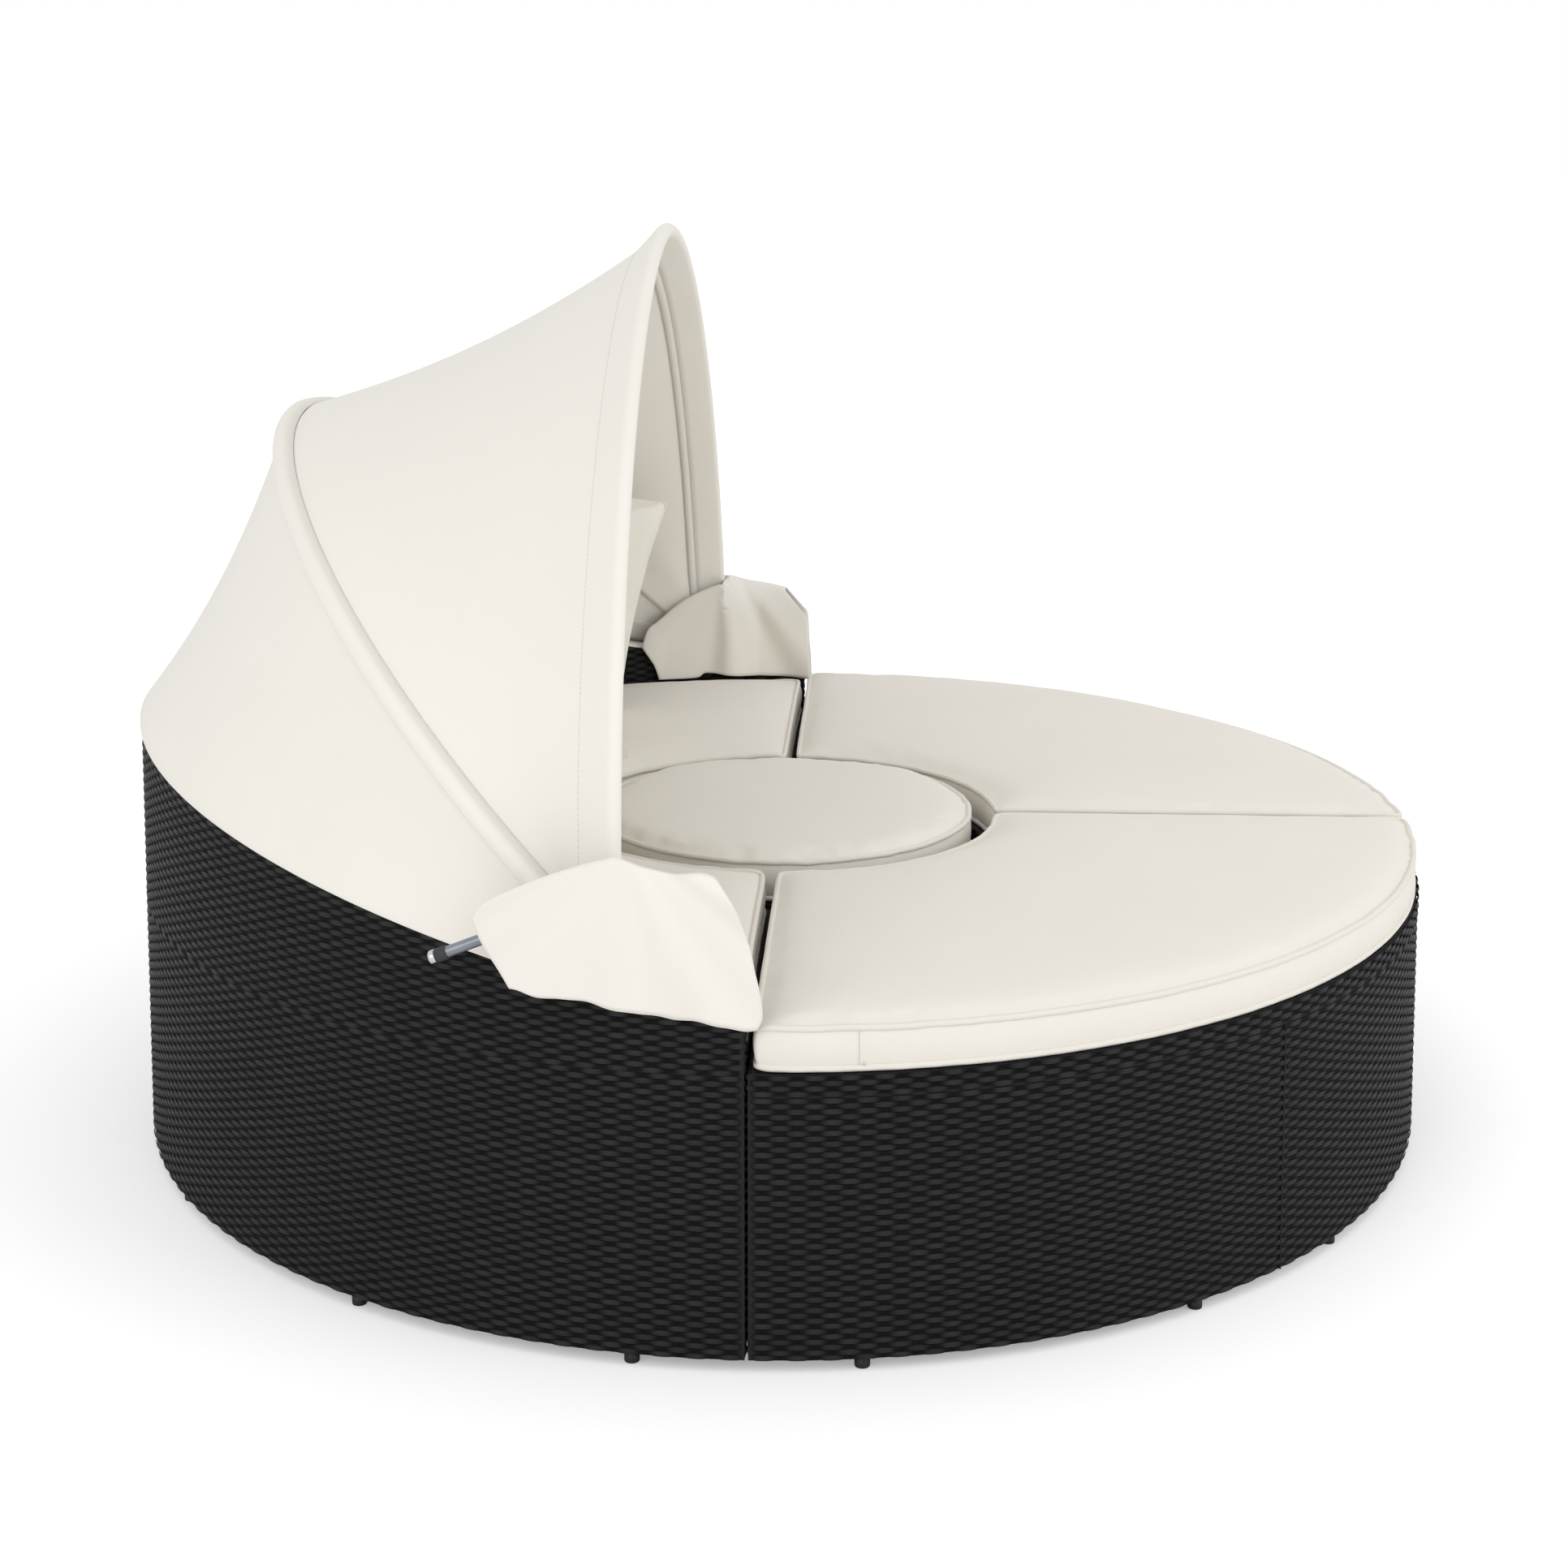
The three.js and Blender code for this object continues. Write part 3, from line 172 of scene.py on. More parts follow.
# Nodes
class Value:
    """A node's output that adds, scales and divides like a number."""

    def __init__(self, tree, socket):
        self.tree = tree
        self.socket = socket

    def math(self, operation, *others):
        return calculated(self.tree, operation, self, *others)

    def __add__(self, other):
        return self.math("ADD", other)

    __radd__ = __add__

    def __mul__(self, other):
        return self.math("MULTIPLY", other)

    __rmul__ = __mul__

    def __sub__(self, other):
        return self.math("SUBTRACT", other)

    def __rsub__(self, other):
        return calculated(self.tree, "SUBTRACT", other, self)

    def __truediv__(self, other):
        return self.math("DIVIDE", other)

    def __rtruediv__(self, other):
        return calculated(self.tree, "DIVIDE", other, self)


def feed(tree, socket, value):
    if isinstance(value, Value):
        tree.links.new(value.socket, socket)
    elif isinstance(value, bpy.types.NodeSocket):
        tree.links.new(value, socket)
    else:
        socket.default_value = value


def make_node(tree, kind, settings=None, inputs=None):
    """Any node: its settings first, then the values or links of its sockets."""
    node = tree.nodes.new(kind)
    for name, value in (settings or {}).items():
        setattr(node, name, value)
    for key, value in (inputs or {}).items():
        feed(tree, node.inputs[key], value)
    return node


def calculated(tree, operation, *values):
    node = make_node(tree, "ShaderNodeMath", {"operation": operation}, dict(enumerate(values)))
    return Value(tree, node.outputs[0])


def split(tree, vector):
    node = make_node(tree, "ShaderNodeSeparateXYZ", inputs={0: vector})
    return [Value(tree, out) for out in node.outputs]


def smooth_range(tree, value, start, end, low, high):
    """Low before start, high after end, and smooth between them."""
    node = make_node(
        tree,
        "ShaderNodeMapRange",
        {"interpolation_type": "SMOOTHSTEP"},
        {"Value": value, 1: start, 2: end, 3: low, 4: high},
    )
    return Value(tree, node.outputs[0])


# Materials
def new_material(name, colour, roughness, **constants):
    material = bpy.data.materials.new(name)
    material.use_nodes = True
    material.diffuse_color = (*colour[:3], 1.0)
    shader = material.node_tree.nodes["Principled BSDF"]
    shader.inputs["Base Color"].default_value = (*colour[:3], 1.0)
    shader.inputs["Roughness"].default_value = roughness
    for key, value in constants.items():
        shader.inputs[key.replace("_", " ")].default_value = value
    return material


def vary(material, **sockets):
    """Feeds what changes over the surface to the shader."""
    shader = material.node_tree.nodes["Principled BSDF"]
    for key, value in sockets.items():
        feed(material.node_tree, shader.inputs[key.replace("_", " ")], value)
    return material


def place_of(tree):
    return make_node(tree, "ShaderNodeTexCoord").outputs["Object"]


def stored(tree, name):
    node = make_node(tree, "ShaderNodeAttribute", {"attribute_name": name})
    return Value(tree, node.outputs["Fac"])


def mottle(tree, scale, detail=3.0):
    inputs = {"Vector": place_of(tree), "Scale": scale, "Detail": detail}
    return Value(tree, make_node(tree, "ShaderNodeTexNoise", inputs=inputs).outputs["Fac"])


def tint(tree, share, colour, low, high):
    """A colour that runs from low to high times itself with the share."""
    dark, light = ((*[min(1.0, c * by) for c in colour[:3]], 1.0) for by in (low, high))
    inputs = {"Factor": share, 6: dark, 7: light}
    return make_node(tree, "ShaderNodeMix", {"data_type": "RGBA"}, inputs).outputs[2]


def bump(tree, height, strength, distance):
    inputs = {"Height": height, "Strength": strength, "Distance": distance}
    return make_node(tree, "ShaderNodeBump", inputs=inputs).outputs["Normal"]


def ribs(tree, value, pitch):
    """Waves of this pitch along a coordinate, from 0 to 1."""
    return (value * (2 * math.pi / pitch)).math("SINE") * 0.5 + 0.5


def cloth_material(name, colour, thread, mottling):
    """Plain-woven outdoor cloth: fine threads, soft mottling and a little sheen."""
    material = new_material(name, colour, 0.86, Sheen_Weight=0.18, Sheen_Roughness=0.5)
    tree = material.node_tree
    x, y, z = split(tree, place_of(tree))
    weave = ribs(tree, x + z, thread) * ribs(tree, y - z, thread)
    slub = mottle(tree, 420.0)
    cloud = mottle(tree, 7.0)
    return vary(
        material,
        Base_Color=tint(tree, cloud * 0.7 + slub * 0.3, colour, 1 - mottling, 1 + mottling),
        Roughness=slub * 0.12 + 0.8,
        Normal=bump(tree, weave * 0.7 + slub * 0.6, 0.25, 0.4 * MM),
    )


def strand_material(name, colour):
    """Flat synthetic strand: fine ridges along it, a dull gloss, a tone that differs at random from
    strand to strand, painted shade at its dips and a painted highlight at each float's middle.
    """
    material = new_material(name, colour, 0.42, Specular_IOR_Level=0.18)
    tree = material.node_tree
    shade, crest = stored(tree, "shade"), stored(tree, "crest")
    _, _, z = split(tree, place_of(tree))
    ridge = ribs(tree, z, 0.9 * MM)
    streak = mottle(tree, 180.0)
    # Painted highlight at each float's middle that fades with the crest to painted shade at its dips;
    # shade and streak add a random tone.
    light = crest * crest * (shade * 0.3 + 0.6 + streak * 0.3)
    return vary(
        material,
        Base_Color=tint(tree, light, colour, 0.2, 3.2),
        Roughness=streak * 0.15 + 0.72 - crest * 0.32,
        Normal=bump(tree, ridge + streak * 0.5, 0.4, 0.25 * MM),
    )


def coat_material(name, colour, roughness, grain, **constants):
    """Paint, plastic or rubber: a fine grain in colour, gloss and surface."""
    material = new_material(name, colour, roughness, **constants)
    tree = material.node_tree
    fine = mottle(tree, grain)
    wide = mottle(tree, grain / 12)
    return vary(
        material,
        Base_Color=tint(tree, wide, colour, 0.85, 1.15),
        Roughness=fine * 0.16 + (roughness - 0.08),
        Normal=bump(tree, fine, 0.15, 0.1 * MM),
    )


def webbing_material(name, colour, pitch=12 * MM):
    """Woven strand panel under the cushions."""
    material = new_material(name, colour, 0.6)
    tree = material.node_tree
    x, y, _ = split(tree, place_of(tree))
    cells = ribs(tree, x, pitch) * ribs(tree, y, pitch)
    return vary(
        material,
        Base_Color=tint(tree, cells, colour, 0.5, 1.5),
        Normal=bump(tree, cells, 0.6, 1.0 * MM),
    )


FINISHES = {}

# Finishes by name: material's name, colour, roughness, grain and metallic share
COATS = {
    "thread": ("sewing_thread", (0.70, 0.67, 0.60), 0.75, 900.0, 0.0),
    # Near-black skin behind the weave: painted shade seen through the gaps between the strands.
    "shadow": ("painted_shade_behind_weave", (0.006, 0.006, 0.006), 0.9, 300.0, 0.0),
    "coat": ("dark_powder_coat", (0.04, 0.042, 0.045), 0.5, 700.0, 0.0),
    "bracket": ("bracket_coat", (0.03, 0.032, 0.035), 0.45, 700.0, 0.0),
    "glide": ("glide_plastic", (0.008, 0.008, 0.0085), 0.5, 600.0, 0.0),
    "knob": ("knob_plastic", (0.01, 0.01, 0.01), 0.42, 600.0, 0.0),
    "collar": ("collar_rubber", (0.035, 0.036, 0.038), 0.7, 600.0, 0.0),
    "plug": ("plug_bright", (0.66, 0.68, 0.70), 0.22, 500.0, 1.0),
}


def make_finishes(colours):
    cushion, canopy = tuple(colours.cushion), tuple(colours.canopy)
    piping = tuple(c * 0.96 for c in cushion)
    binding = tuple(c * 0.93 for c in canopy)
    for key, colour, thread, mottling in (
        ("cushion", cushion, 1.5 * MM, 0.03),
        ("piping", piping, 1.2 * MM, 0.03),
        ("canopy", canopy, 1.2 * MM, 0.02),
        ("binding", binding, 1.2 * MM, 0.02),
    ):
        FINISHES[key] = cloth_material(f"{key}_cloth", colour, thread, mottling)
    FINISHES["strand"] = strand_material("woven_strand", tuple(colours.wicker))
    FINISHES["webbing"] = webbing_material("deck_webbing", (0.018, 0.018, 0.019))
    coats = {**COATS, "tube": ("satin_tube", tuple(colours.tube), 0.34, 500.0, 0.7)}
    for key, (name, colour, roughness, grain, metallic) in coats.items():
        FINISHES[key] = coat_material(name, colour, roughness, grain, Metallic=metallic)


# Meshes
def place_object(name, data):
    item = bpy.data.objects.new(name, data)
    bpy.context.scene.collection.objects.link(item)
    return item


def add_piece(name, verts, faces, finish, body, slot=None, thickness=0.0):
    mesh = bpy.data.meshes.new(name)
    mesh.from_pydata([tuple(map(float, v)) for v in verts], [], [tuple(map(int, f)) for f in faces])
    mesh.validate()
    mesh.update()
    piece = place_object(name, mesh)
    mesh.materials.append(FINISHES[finish])
    mesh.shade_smooth()
    if thickness:
        solid = piece.modifiers.new("thickness", "SOLIDIFY")
        solid.thickness = thickness
        solid.offset = -1.0
    if body:
        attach(piece, body)
    return piece


def grid_faces(rows, columns, close_rows=False, close_columns=False):
    """Faces of a grid of points, where point (i, j) is number i * columns + j."""
    faces = []
    for i in range(rows if close_rows else rows - 1):
        here, next_row = i * columns, (i + 1) % rows * columns
        for j in range(columns if close_columns else columns - 1):
            n = (j + 1) % columns
            faces.append((here + j, here + n, next_row + n, next_row + j))
    return faces


def facing(verts, faces, outward):
    """The faces, turned round if most look against the outward directions at their first points."""
    v = np.asarray(verts)
    f = np.asarray(faces)
    normal = np.cross(v[f[:, 1]] - v[f[:, 0]], v[f[:, 2]] - v[f[:, 0]])
    if np.einsum("ij,ij->i", normal, np.asarray(outward)[f[:, 0]]).sum() < 0:
        return [tuple(reversed(face)) for face in faces]
    return faces


def sweep(path, radius, sides=12, closed=False):
    """A round tube along a path of points, with flat ends unless it is closed."""
    p = np.asarray(path, float)
    after, before = np.roll(p, -1, 0), np.roll(p, 1, 0)
    if not closed:
        after[-1], before[0] = p[-1], p[0]
    tangent = unit(after - before)
    across = np.cross(tangent, [0.0, 0.0, 1.0])
    steep = np.linalg.norm(across, axis=1) < 0.15
    across[steep] = np.cross(tangent[steep], [0.0, 1.0, 0.0])
    across = unit(across)
    for i in range(1, len(p)):
        across[i] = unit(across[i - 1] - tangent[i] * (across[i - 1] @ tangent[i]))
    over = np.cross(across, tangent)
    turn = np.linspace(0, 2 * math.pi, sides, endpoint=False)[None, :, None]
    ring = np.cos(turn) * across[:, None] + np.sin(turn) * over[:, None]
    verts = (p[:, None] + radius * ring).reshape(-1, 3)
    faces = facing(verts, grid_faces(len(p), sides, closed, True), ring.reshape(-1, 3))
    if not closed:
        first = tuple(range(sides))
        last = tuple(range(len(verts) - sides, len(verts)))
        flipped = faces[0][0] == 0 and faces[0][1] == 1
        faces += [tuple(reversed(first)), last] if flipped else [first, tuple(reversed(last))]
    return verts, faces


def lathe(profile, origin, axis, sides=32):
    """A turned piece from (radius, distance) pairs along its axis, the first and last on it."""
    way = Vector(axis).normalized()
    turn = way.to_track_quat("Z", "Y").to_matrix()
    verts = []
    inner = profile[1:-1]
    for radius, along in inner:
        for k in range(sides):
            angle = 2 * math.pi * k / sides
            local = Vector((radius * math.cos(angle), radius * math.sin(angle), along))
            verts.append(tuple(Vector(origin) + turn @ local))
    faces = grid_faces(len(inner), sides, False, True)
    for _, along in (profile[0], profile[-1]):
        verts.append(tuple(Vector(origin) + way * along))
    low, high = len(verts) - 2, len(verts) - 1
    last = (len(inner) - 1) * sides
    for k in range(sides):
        n = (k + 1) % sides
        faces.append((low, n, k))
        faces.append((high, last + k, last + n))
    return verts, faces


def merged(parts):
    """Several (verts, faces) as one."""
    verts, faces = [], []
    for part_verts, part_faces in parts:
        start = len(verts)
        verts += [tuple(v) for v in part_verts]
        faces += [tuple(k + start for k in face) for face in part_faces]
    return verts, faces


def fix_normals(piece):
    mesh = bmesh.new()
    mesh.from_mesh(piece.data)
    bmesh.ops.recalc_face_normals(mesh, faces=mesh.faces)
    mesh.to_mesh(piece.data)
    mesh.free()


def unit(v):
    return v / np.linalg.norm(v, axis=-1, keepdims=True)


def travelled(path):
    """Length along a path at each of its points."""
    steps = np.linalg.norm(np.diff(np.asarray(path), axis=0), axis=1)
    return np.concatenate([[0], np.cumsum(steps)])


def line_length(path):
    return float(travelled(path)[-1])


def resample(points, count):
    """Points at even steps along a smooth line through the given ones."""
    p = np.asarray(points, float)
    ends = np.vstack([2 * p[0] - p[1], p, 2 * p[-1] - p[-2]])
    fine = []
    for i in range(1, len(ends) - 2):
        a, b, c, d = ends[i - 1 : i + 3]
        square, cube = 2 * a - 5 * b + 4 * c - d, 3 * b - a - 3 * c + d
        for t in np.linspace(0, 1, 16, endpoint=False):
            fine.append(0.5 * (2 * b + (c - a) * t + square * t**2 + cube * t**3))
    fine = np.array(fine + [p[-1]])
    length = travelled(fine)
    at = np.linspace(0, length[-1], count)
    return np.stack([np.interp(at, length, fine[:, k]) for k in range(fine.shape[1])], 1)


def smooth_loop(points, times):
    p = np.asarray(points)
    for _ in range(times):
        p = (np.roll(p, 1, 0) + 2 * p + np.roll(p, -1, 0)) / 4
    return p


# Weave
WEAVE_SIZES = ("Rows", "Columns", "Low", "Pitch", "Period", "Width", "Stand", "Rim start", "Rim rise")


def weave_tree():
    """Rows of flat strands, floating over and dipping under, wrapped along a path's edges."""
    tree = bpy.data.node_groups.new("woven_rows", "GeometryNodeTree")
    tree.interface.new_socket("Geometry", in_out="OUTPUT", socket_type="NodeSocketGeometry")
    kinds = {"Path": "Geometry", "Rows": "Int", "Columns": "Int", "Finish": "Material"}
    for name in ("Path", *WEAVE_SIZES, "Finish"):
        kind = f"NodeSocket{kinds.get(name, 'Float')}"
        tree.interface.new_socket(name, in_out="INPUT", socket_type=kind)
    given = make_node(tree, "NodeGroupInput")
    size = {s.name: Value(tree, s) for s in given.outputs if s.name in WEAVE_SIZES}

    def node(kind, settings=None, inputs=None):
        return make_node(tree, f"GeometryNode{kind}", settings, inputs).outputs[0]

    def combined(x=0.0, y=0.0, z=0.0):
        return make_node(tree, "ShaderNodeCombineXYZ", inputs={0: x, 1: y, 2: z}).outputs[0]

    def vectors(operation, first, second, key=1):
        inputs = {0: first, key: second}
        return make_node(tree, "ShaderNodeVectorMath", {"operation": operation}, inputs).outputs[0]

    def mark(geometry, domain, name, value):
        settings = {"data_type": "FLOAT", "domain": domain}
        return node("StoreNamedAttribute", settings, {0: geometry, "Name": name, "Value": value})

    curve = node("MeshToCurve", inputs={0: given.outputs["Path"]})

    def on_path(distance):
        settings = {"mode": "LENGTH", "data_type": "FLOAT_VECTOR"}
        inputs = {"Curves": curve, "Length": distance}
        return make_node(tree, "GeometryNodeSampleCurve", settings, inputs).outputs

    def rim_over(spot):
        return size["Rim start"] + size["Rim rise"] * split(tree, spot["Position"])[1]

    # One strand, raised at its middle and dipping at both ends
    grid = {"Size X": size["Period"], "Size Y": size["Width"], "Vertices X": 8, "Vertices Y": 3}
    strand = node("MeshGrid", inputs=grid)
    x, y, _ = split(tree, node("InputPosition"))
    from_middle = (x / size["Period"]).math("ABSOLUTE")
    crest = smooth_range(tree, from_middle, DIP_START_SHARE, DIP_END_SHARE, 1.0, 0.0)
    edge = (y / size["Width"]).math("ABSOLUTE")
    height = crest * (size["Stand"] - edge * edge * STRAND_BOW) + STRAND_LIFT
    narrowed = y * (crest * (1 - NARROWEST_SHARE) + NARROWEST_SHARE)
    # The crest share is stored as well, for the strand's painted highlight at its middle and painted
    # shade at its dips.
    strand = mark(strand, "POINT", "crest", crest)
    strand = node("SetPosition", inputs={0: strand, "Position": combined(x, narrowed, height)})

    # The strands in rows on a flat sheet, without those above the rim
    points = node("Points", inputs={"Count": size["Rows"] * size["Columns"]})
    index = Value(tree, node("InputIndex"))
    row = (index / size["Columns"]).math("FLOOR")
    column = index - row * size["Columns"]
    along = (column + row.math("MODULO", 2.0) * 0.5 + 0.5) * size["Period"]
    up = size["Low"] + (row + 0.5) * size["Pitch"]
    points = node("SetPosition", inputs={0: points, "Position": combined(along, up)})
    above = make_node(
        tree,
        "FunctionNodeCompare",
        {"operation": "GREATER_THAN"},
        {0: up - size["Pitch"] * 0.5, 1: rim_over(on_path(along))},
    )
    selection = {0: points, "Selection": above.outputs[0]}
    points = node("DeleteGeometry", {"domain": "POINT"}, selection)
    rows = node("InstanceOnPoints", inputs={"Points": points, "Instance": strand})
    drawn = {2: 0.0, 3: 1.0, "Seed": 7}
    shade = make_node(tree, "FunctionNodeRandomValue", {"data_type": "FLOAT"}, drawn).outputs[1]
    rows = node("RealizeInstances", inputs={0: mark(rows, "INSTANCE", "shade", shade)})

    # The sheet wrapped round the path, with its height as the sheet's second axis
    flat_x, flat_y, flat_z = split(tree, node("InputPosition"))
    length = Value(tree, node("CurveLength", inputs={0: curve}))
    here = on_path(flat_x.math("MODULO", length))
    outward = vectors("CROSS_PRODUCT", here["Tangent"], (0.0, 0.0, 1.0))
    pushed = vectors("SCALE", outward, flat_z, "Scale")
    lifted = combined(z=flat_y.math("MINIMUM", rim_over(here) - RIM_CLEAR))
    place = vectors("ADD", vectors("ADD", here["Position"], pushed), lifted)
    rows = node("SetPosition", inputs={0: rows, "Position": place})
    rows = node("SetMaterial", inputs={0: rows, "Material": given.outputs["Finish"]})
    make_node(tree, "NodeGroupOutput", inputs={0: rows})
    return tree


def run_tree(tree, path, settings):
    """The mesh that a node tree makes along a closed path."""
    count = len(path)
    mesh = bpy.data.meshes.new("path")
    mesh.from_pydata([tuple(p) for p in path], [(k, (k + 1) % count) for k in range(count)], [])
    holder = place_object("path", mesh)
    modifier = holder.modifiers.new("rows", "NODES")
    modifier.node_group = tree
    identifiers = {s.name: s.identifier for s in tree.interface.items_tree if s.in_out == "INPUT"}
    for name, value in settings.items():
        modifier[identifiers[name]] = value
    depsgraph = bpy.context.evaluated_depsgraph_get()
    made = bpy.data.meshes.new_from_object(
        holder.evaluated_get(depsgraph), preserve_all_data_layers=True, depsgraph=depsgraph
    )
    holder.modifiers.remove(modifier)
    bpy.data.objects.remove(holder)
    return made


def join_meshes(name, meshes, body):
    built = bmesh.new()
    for mesh in meshes:
        built.from_mesh(mesh)
    for face in built.faces:
        face.material_index = 0
        face.smooth = True
    joined = bpy.data.meshes.new(name)
    built.to_mesh(joined)
    built.free()
    joined.materials.append(FINISHES["strand"])
    piece = place_object(name, joined)
    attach(piece, body)
    return piece


def arc(radius, start, end, step=math.radians(1.0)):
    steps = max(2, int(round(abs(end - start) / step)))
    turn = np.linspace(start, end, steps + 1)
    return np.stack([radius * np.cos(turn), radius * np.sin(turn), 0 * turn], 1)


def slice_outline(inner, start, end):
    """Plan of a slice of the round, anticlockwise from its first outer corner."""
    out_turn, in_turn = math.asin(JOINT_FACE / WICKER_R), math.asin(JOINT_FACE / inner)
    outside = arc(WICKER_R, start + out_turn, end - out_turn)
    return soften(np.vstack([outside, arc(inner, end - in_turn, start + in_turn)]), CORNER_CUT)


def soften(points, reach, longest=0.05, step=0.02):
    """Cuts each sharp corner of a closed outline back by reach, and fills long straights."""
    out = []
    count = len(points)
    for k in range(count):
        p, before, after = points[k], points[k - 1], points[(k + 1) % count]
        a, b = unit(before - p), unit(after - p)
        if a @ b > -0.8:
            out += [p + a * reach, p + (a + b) * reach * 0.29, p + b * reach]
        else:
            out.append(p)
        gap = np.linalg.norm(after - p)
        if gap > longest:
            for t in np.linspace(0, 1, int(gap / step), endpoint=False)[1:-1]:
                out.append(p + (after - p) * t)
    return np.array(out)


def woven_skin(name, path, low, high, body, sizes, rim=(9.0, 0.0), grooved=False):
    """A skirt of woven rows on a closed outline, up to its height or a sloping rim."""
    tree = bpy.data.node_groups.get("woven_rows") or weave_tree()
    length = np.linalg.norm(np.roll(path, -1, 0) - path, axis=1).sum()
    runs = [(low, GROOVE_Z if grooved else high, sizes.row_pitch, STRAND_STAND)]
    if grooved:
        runs.append((GROOVE_Z + GROOVE, high, UPPER_PITCH, UPPER_STAND))
    meshes = []
    columns = round(length / sizes.float_period)
    for bottom, top, pitch, stand in runs:
        settings = {
            "Rows": int((top - bottom) / pitch + 0.3),
            "Columns": columns,
            "Low": bottom,
            "Pitch": pitch,
            "Period": float(length / columns),
            "Width": sizes.strand_width * pitch / sizes.row_pitch,
            "Stand": stand,
            "Rim start": rim[0],
            "Rim rise": rim[1],
            "Finish": FINISHES["strand"],
        }
        meshes.append(run_tree(tree, path, settings))
    return join_meshes(name, meshes, body)


# Hoops
def hoop_point(theta, half, reach, tilt):
    theta = np.asarray(theta, float)
    power = 2 / HOOP_POWER
    rise = reach * np.maximum(0, np.sin(theta)) ** power
    x = half * np.sign(np.cos(theta)) * np.abs(np.cos(theta)) ** power
    return np.stack([x, PIVOT_Y + rise * math.sin(tilt), PIVOT_Z + rise * math.cos(tilt)], -1)


def mid_point(theta):
    return hoop_point(theta, MID_HALF, MID_REACH, MID_TILT)


def front_point(theta):
    return hoop_point(theta, FRONT_HALF, FRONT_REACH, FRONT_TILT)


def panel_angle(point_at, share):
    """The hoop's angle at a share of the cloth's width, from the left arm to the right."""
    theta = np.linspace(0, math.pi, 2001)
    length = travelled(point_at(theta))
    along = 1 - (1 + np.asarray(share) * (HOOP_STEPS - 2)) / HOOP_STEPS
    return np.interp(along * length[-1], length, theta)


def hoop_frame(point_at, theta, towards):
    """Points on a hoop, with the ways along the cloth and out of it there."""
    step = 0.001
    along = unit(point_at(theta + step) - point_at(theta - step))
    rear = unit(towards - (towards * along).sum(-1, keepdims=True) * along)
    return point_at(theta), rear, unit(np.cross(rear, along))


def shifted(place, back, out):
    return place[0] + place[1] * back + place[2] * out


def rim_point(share, radius, lift):
    start = math.asin(BAND_START / WICKER_R)
    angle = math.pi - start + (2 * start - math.pi) * np.asarray(share)
    y = radius * np.sin(angle)
    return np.stack([radius * np.cos(angle), y, rim_height(y) + lift], -1)


def mid_frame(share):
    theta = panel_angle(mid_point, share)
    centre = mid_point(theta)
    front = front_point(panel_angle(front_point, share))
    rear_way = unit(rim_point(share, HEM_R, 0.0) - centre)
    return hoop_frame(mid_point, theta, rear_way - unit(front - centre))


def front_frame(share):
    theta = panel_angle(front_point, share)
    mid = mid_point(panel_angle(mid_point, share))
    return hoop_frame(front_point, theta, mid - front_point(theta))


def wrapped(place, radius, start, end, steps=15):
    turns = np.linspace(start, end, steps)
    return [shifted(place, radius * math.cos(a), radius * math.sin(a)) for a in turns]


def tension(share, t, seed):
    """Soft pulls in taut cloth that run from hoop to hoop, none at its sewn edges."""
    pull = np.array([noise.noise(Vector((s * 13.0, t * 0.9, seed))) for s in share])
    wide = np.array([noise.noise(Vector((s * 4.0, t * 1.5, seed + 9.0))) for s in share])
    return PULL_DEPTH * (0.6 * pull + 0.8 * wide) * 4 * t * (1 - t)


def hanging(start, end, out, sag, share, seed):
    lines = []
    for t in np.linspace(0, 1, HANG_STEPS + 1)[1:-1]:
        dip = -sag * 4 * t * (1 - t) + tension(share, t, seed)
        lines.append(start + (end - start) * t + out * dip[:, None])
    return lines


def strip(name, lines, finish, body, outward, thickness=CLOTH):
    """A sheet whose columns are lines of points from arm to arm."""
    grid = np.stack(lines, 1)
    rows, columns, _ = grid.shape
    verts = grid.reshape(-1, 3)
    away = np.repeat(outward[:, None], columns, 1).reshape(-1, 3)
    middle = columns // 2
    faces = grid_faces(rows, columns)
    picked = [f for k, f in enumerate(faces) if k % (columns - 1) == middle]
    if facing(verts, picked, away) != picked:
        faces = [tuple(reversed(f)) for f in faces]
    return add_piece(name, verts, faces, finish, body, "canopy_fabric", thickness)


def cell_areas(grid):
    """Area of each cell of a sheet's grid of points."""
    corner = grid[:-1, :-1]
    return np.linalg.norm(np.cross(grid[1:, :-1] - corner, grid[:-1, 1:] - corner), axis=2)


def stitch_row(name, path, raised=True):
    """A row of short threads along a path, each raised a little at its middle."""
    p = resample(path, max(3, int(line_length(path) / STITCH_STEP)))
    rise = np.array((0, 0, 0.35 * MM if raised else 0))
    parts = []
    for a, b in zip(p[:-1], p[1:]):
        start, end = a + (b - a) * 0.18, a + (b - a) * 0.82
        parts.append(sweep([start, (start + end) / 2 + rise, end], 0.45 * MM, 5))
    return add_piece(name, *merged(parts), "thread", None)


# Cushions
class Plan:
    """Plan of a boxed cushion; u and v run from -1 to 1, and inset is from its widest line."""

    def __init__(self, inner, outer, start, end):
        self.inner, self.outer, self.start, self.end = inner, outer, start, end

    def place(self, u, v, inset):
        radius = self.inner + inset + (self.outer - self.inner - 2 * inset) * (v + 1) / 2
        turn = math.asin((SIDE_GAP + inset) / radius)
        angle = self.start + turn + (self.end - self.start - 2 * turn) * (u + 1) / 2
        return radius * math.cos(angle), radius * math.sin(angle)


class RoundPlan:
    """The same for a round cushion, where the square of u and v maps to the disc."""

    def __init__(self, radius):
        self.radius = radius

    def place(self, u, v, inset):
        x = u * math.sqrt(1 - v * v / 2)
        y = v * math.sqrt(1 - u * u / 2)
        return x * (self.radius - inset), y * (self.radius - inset)


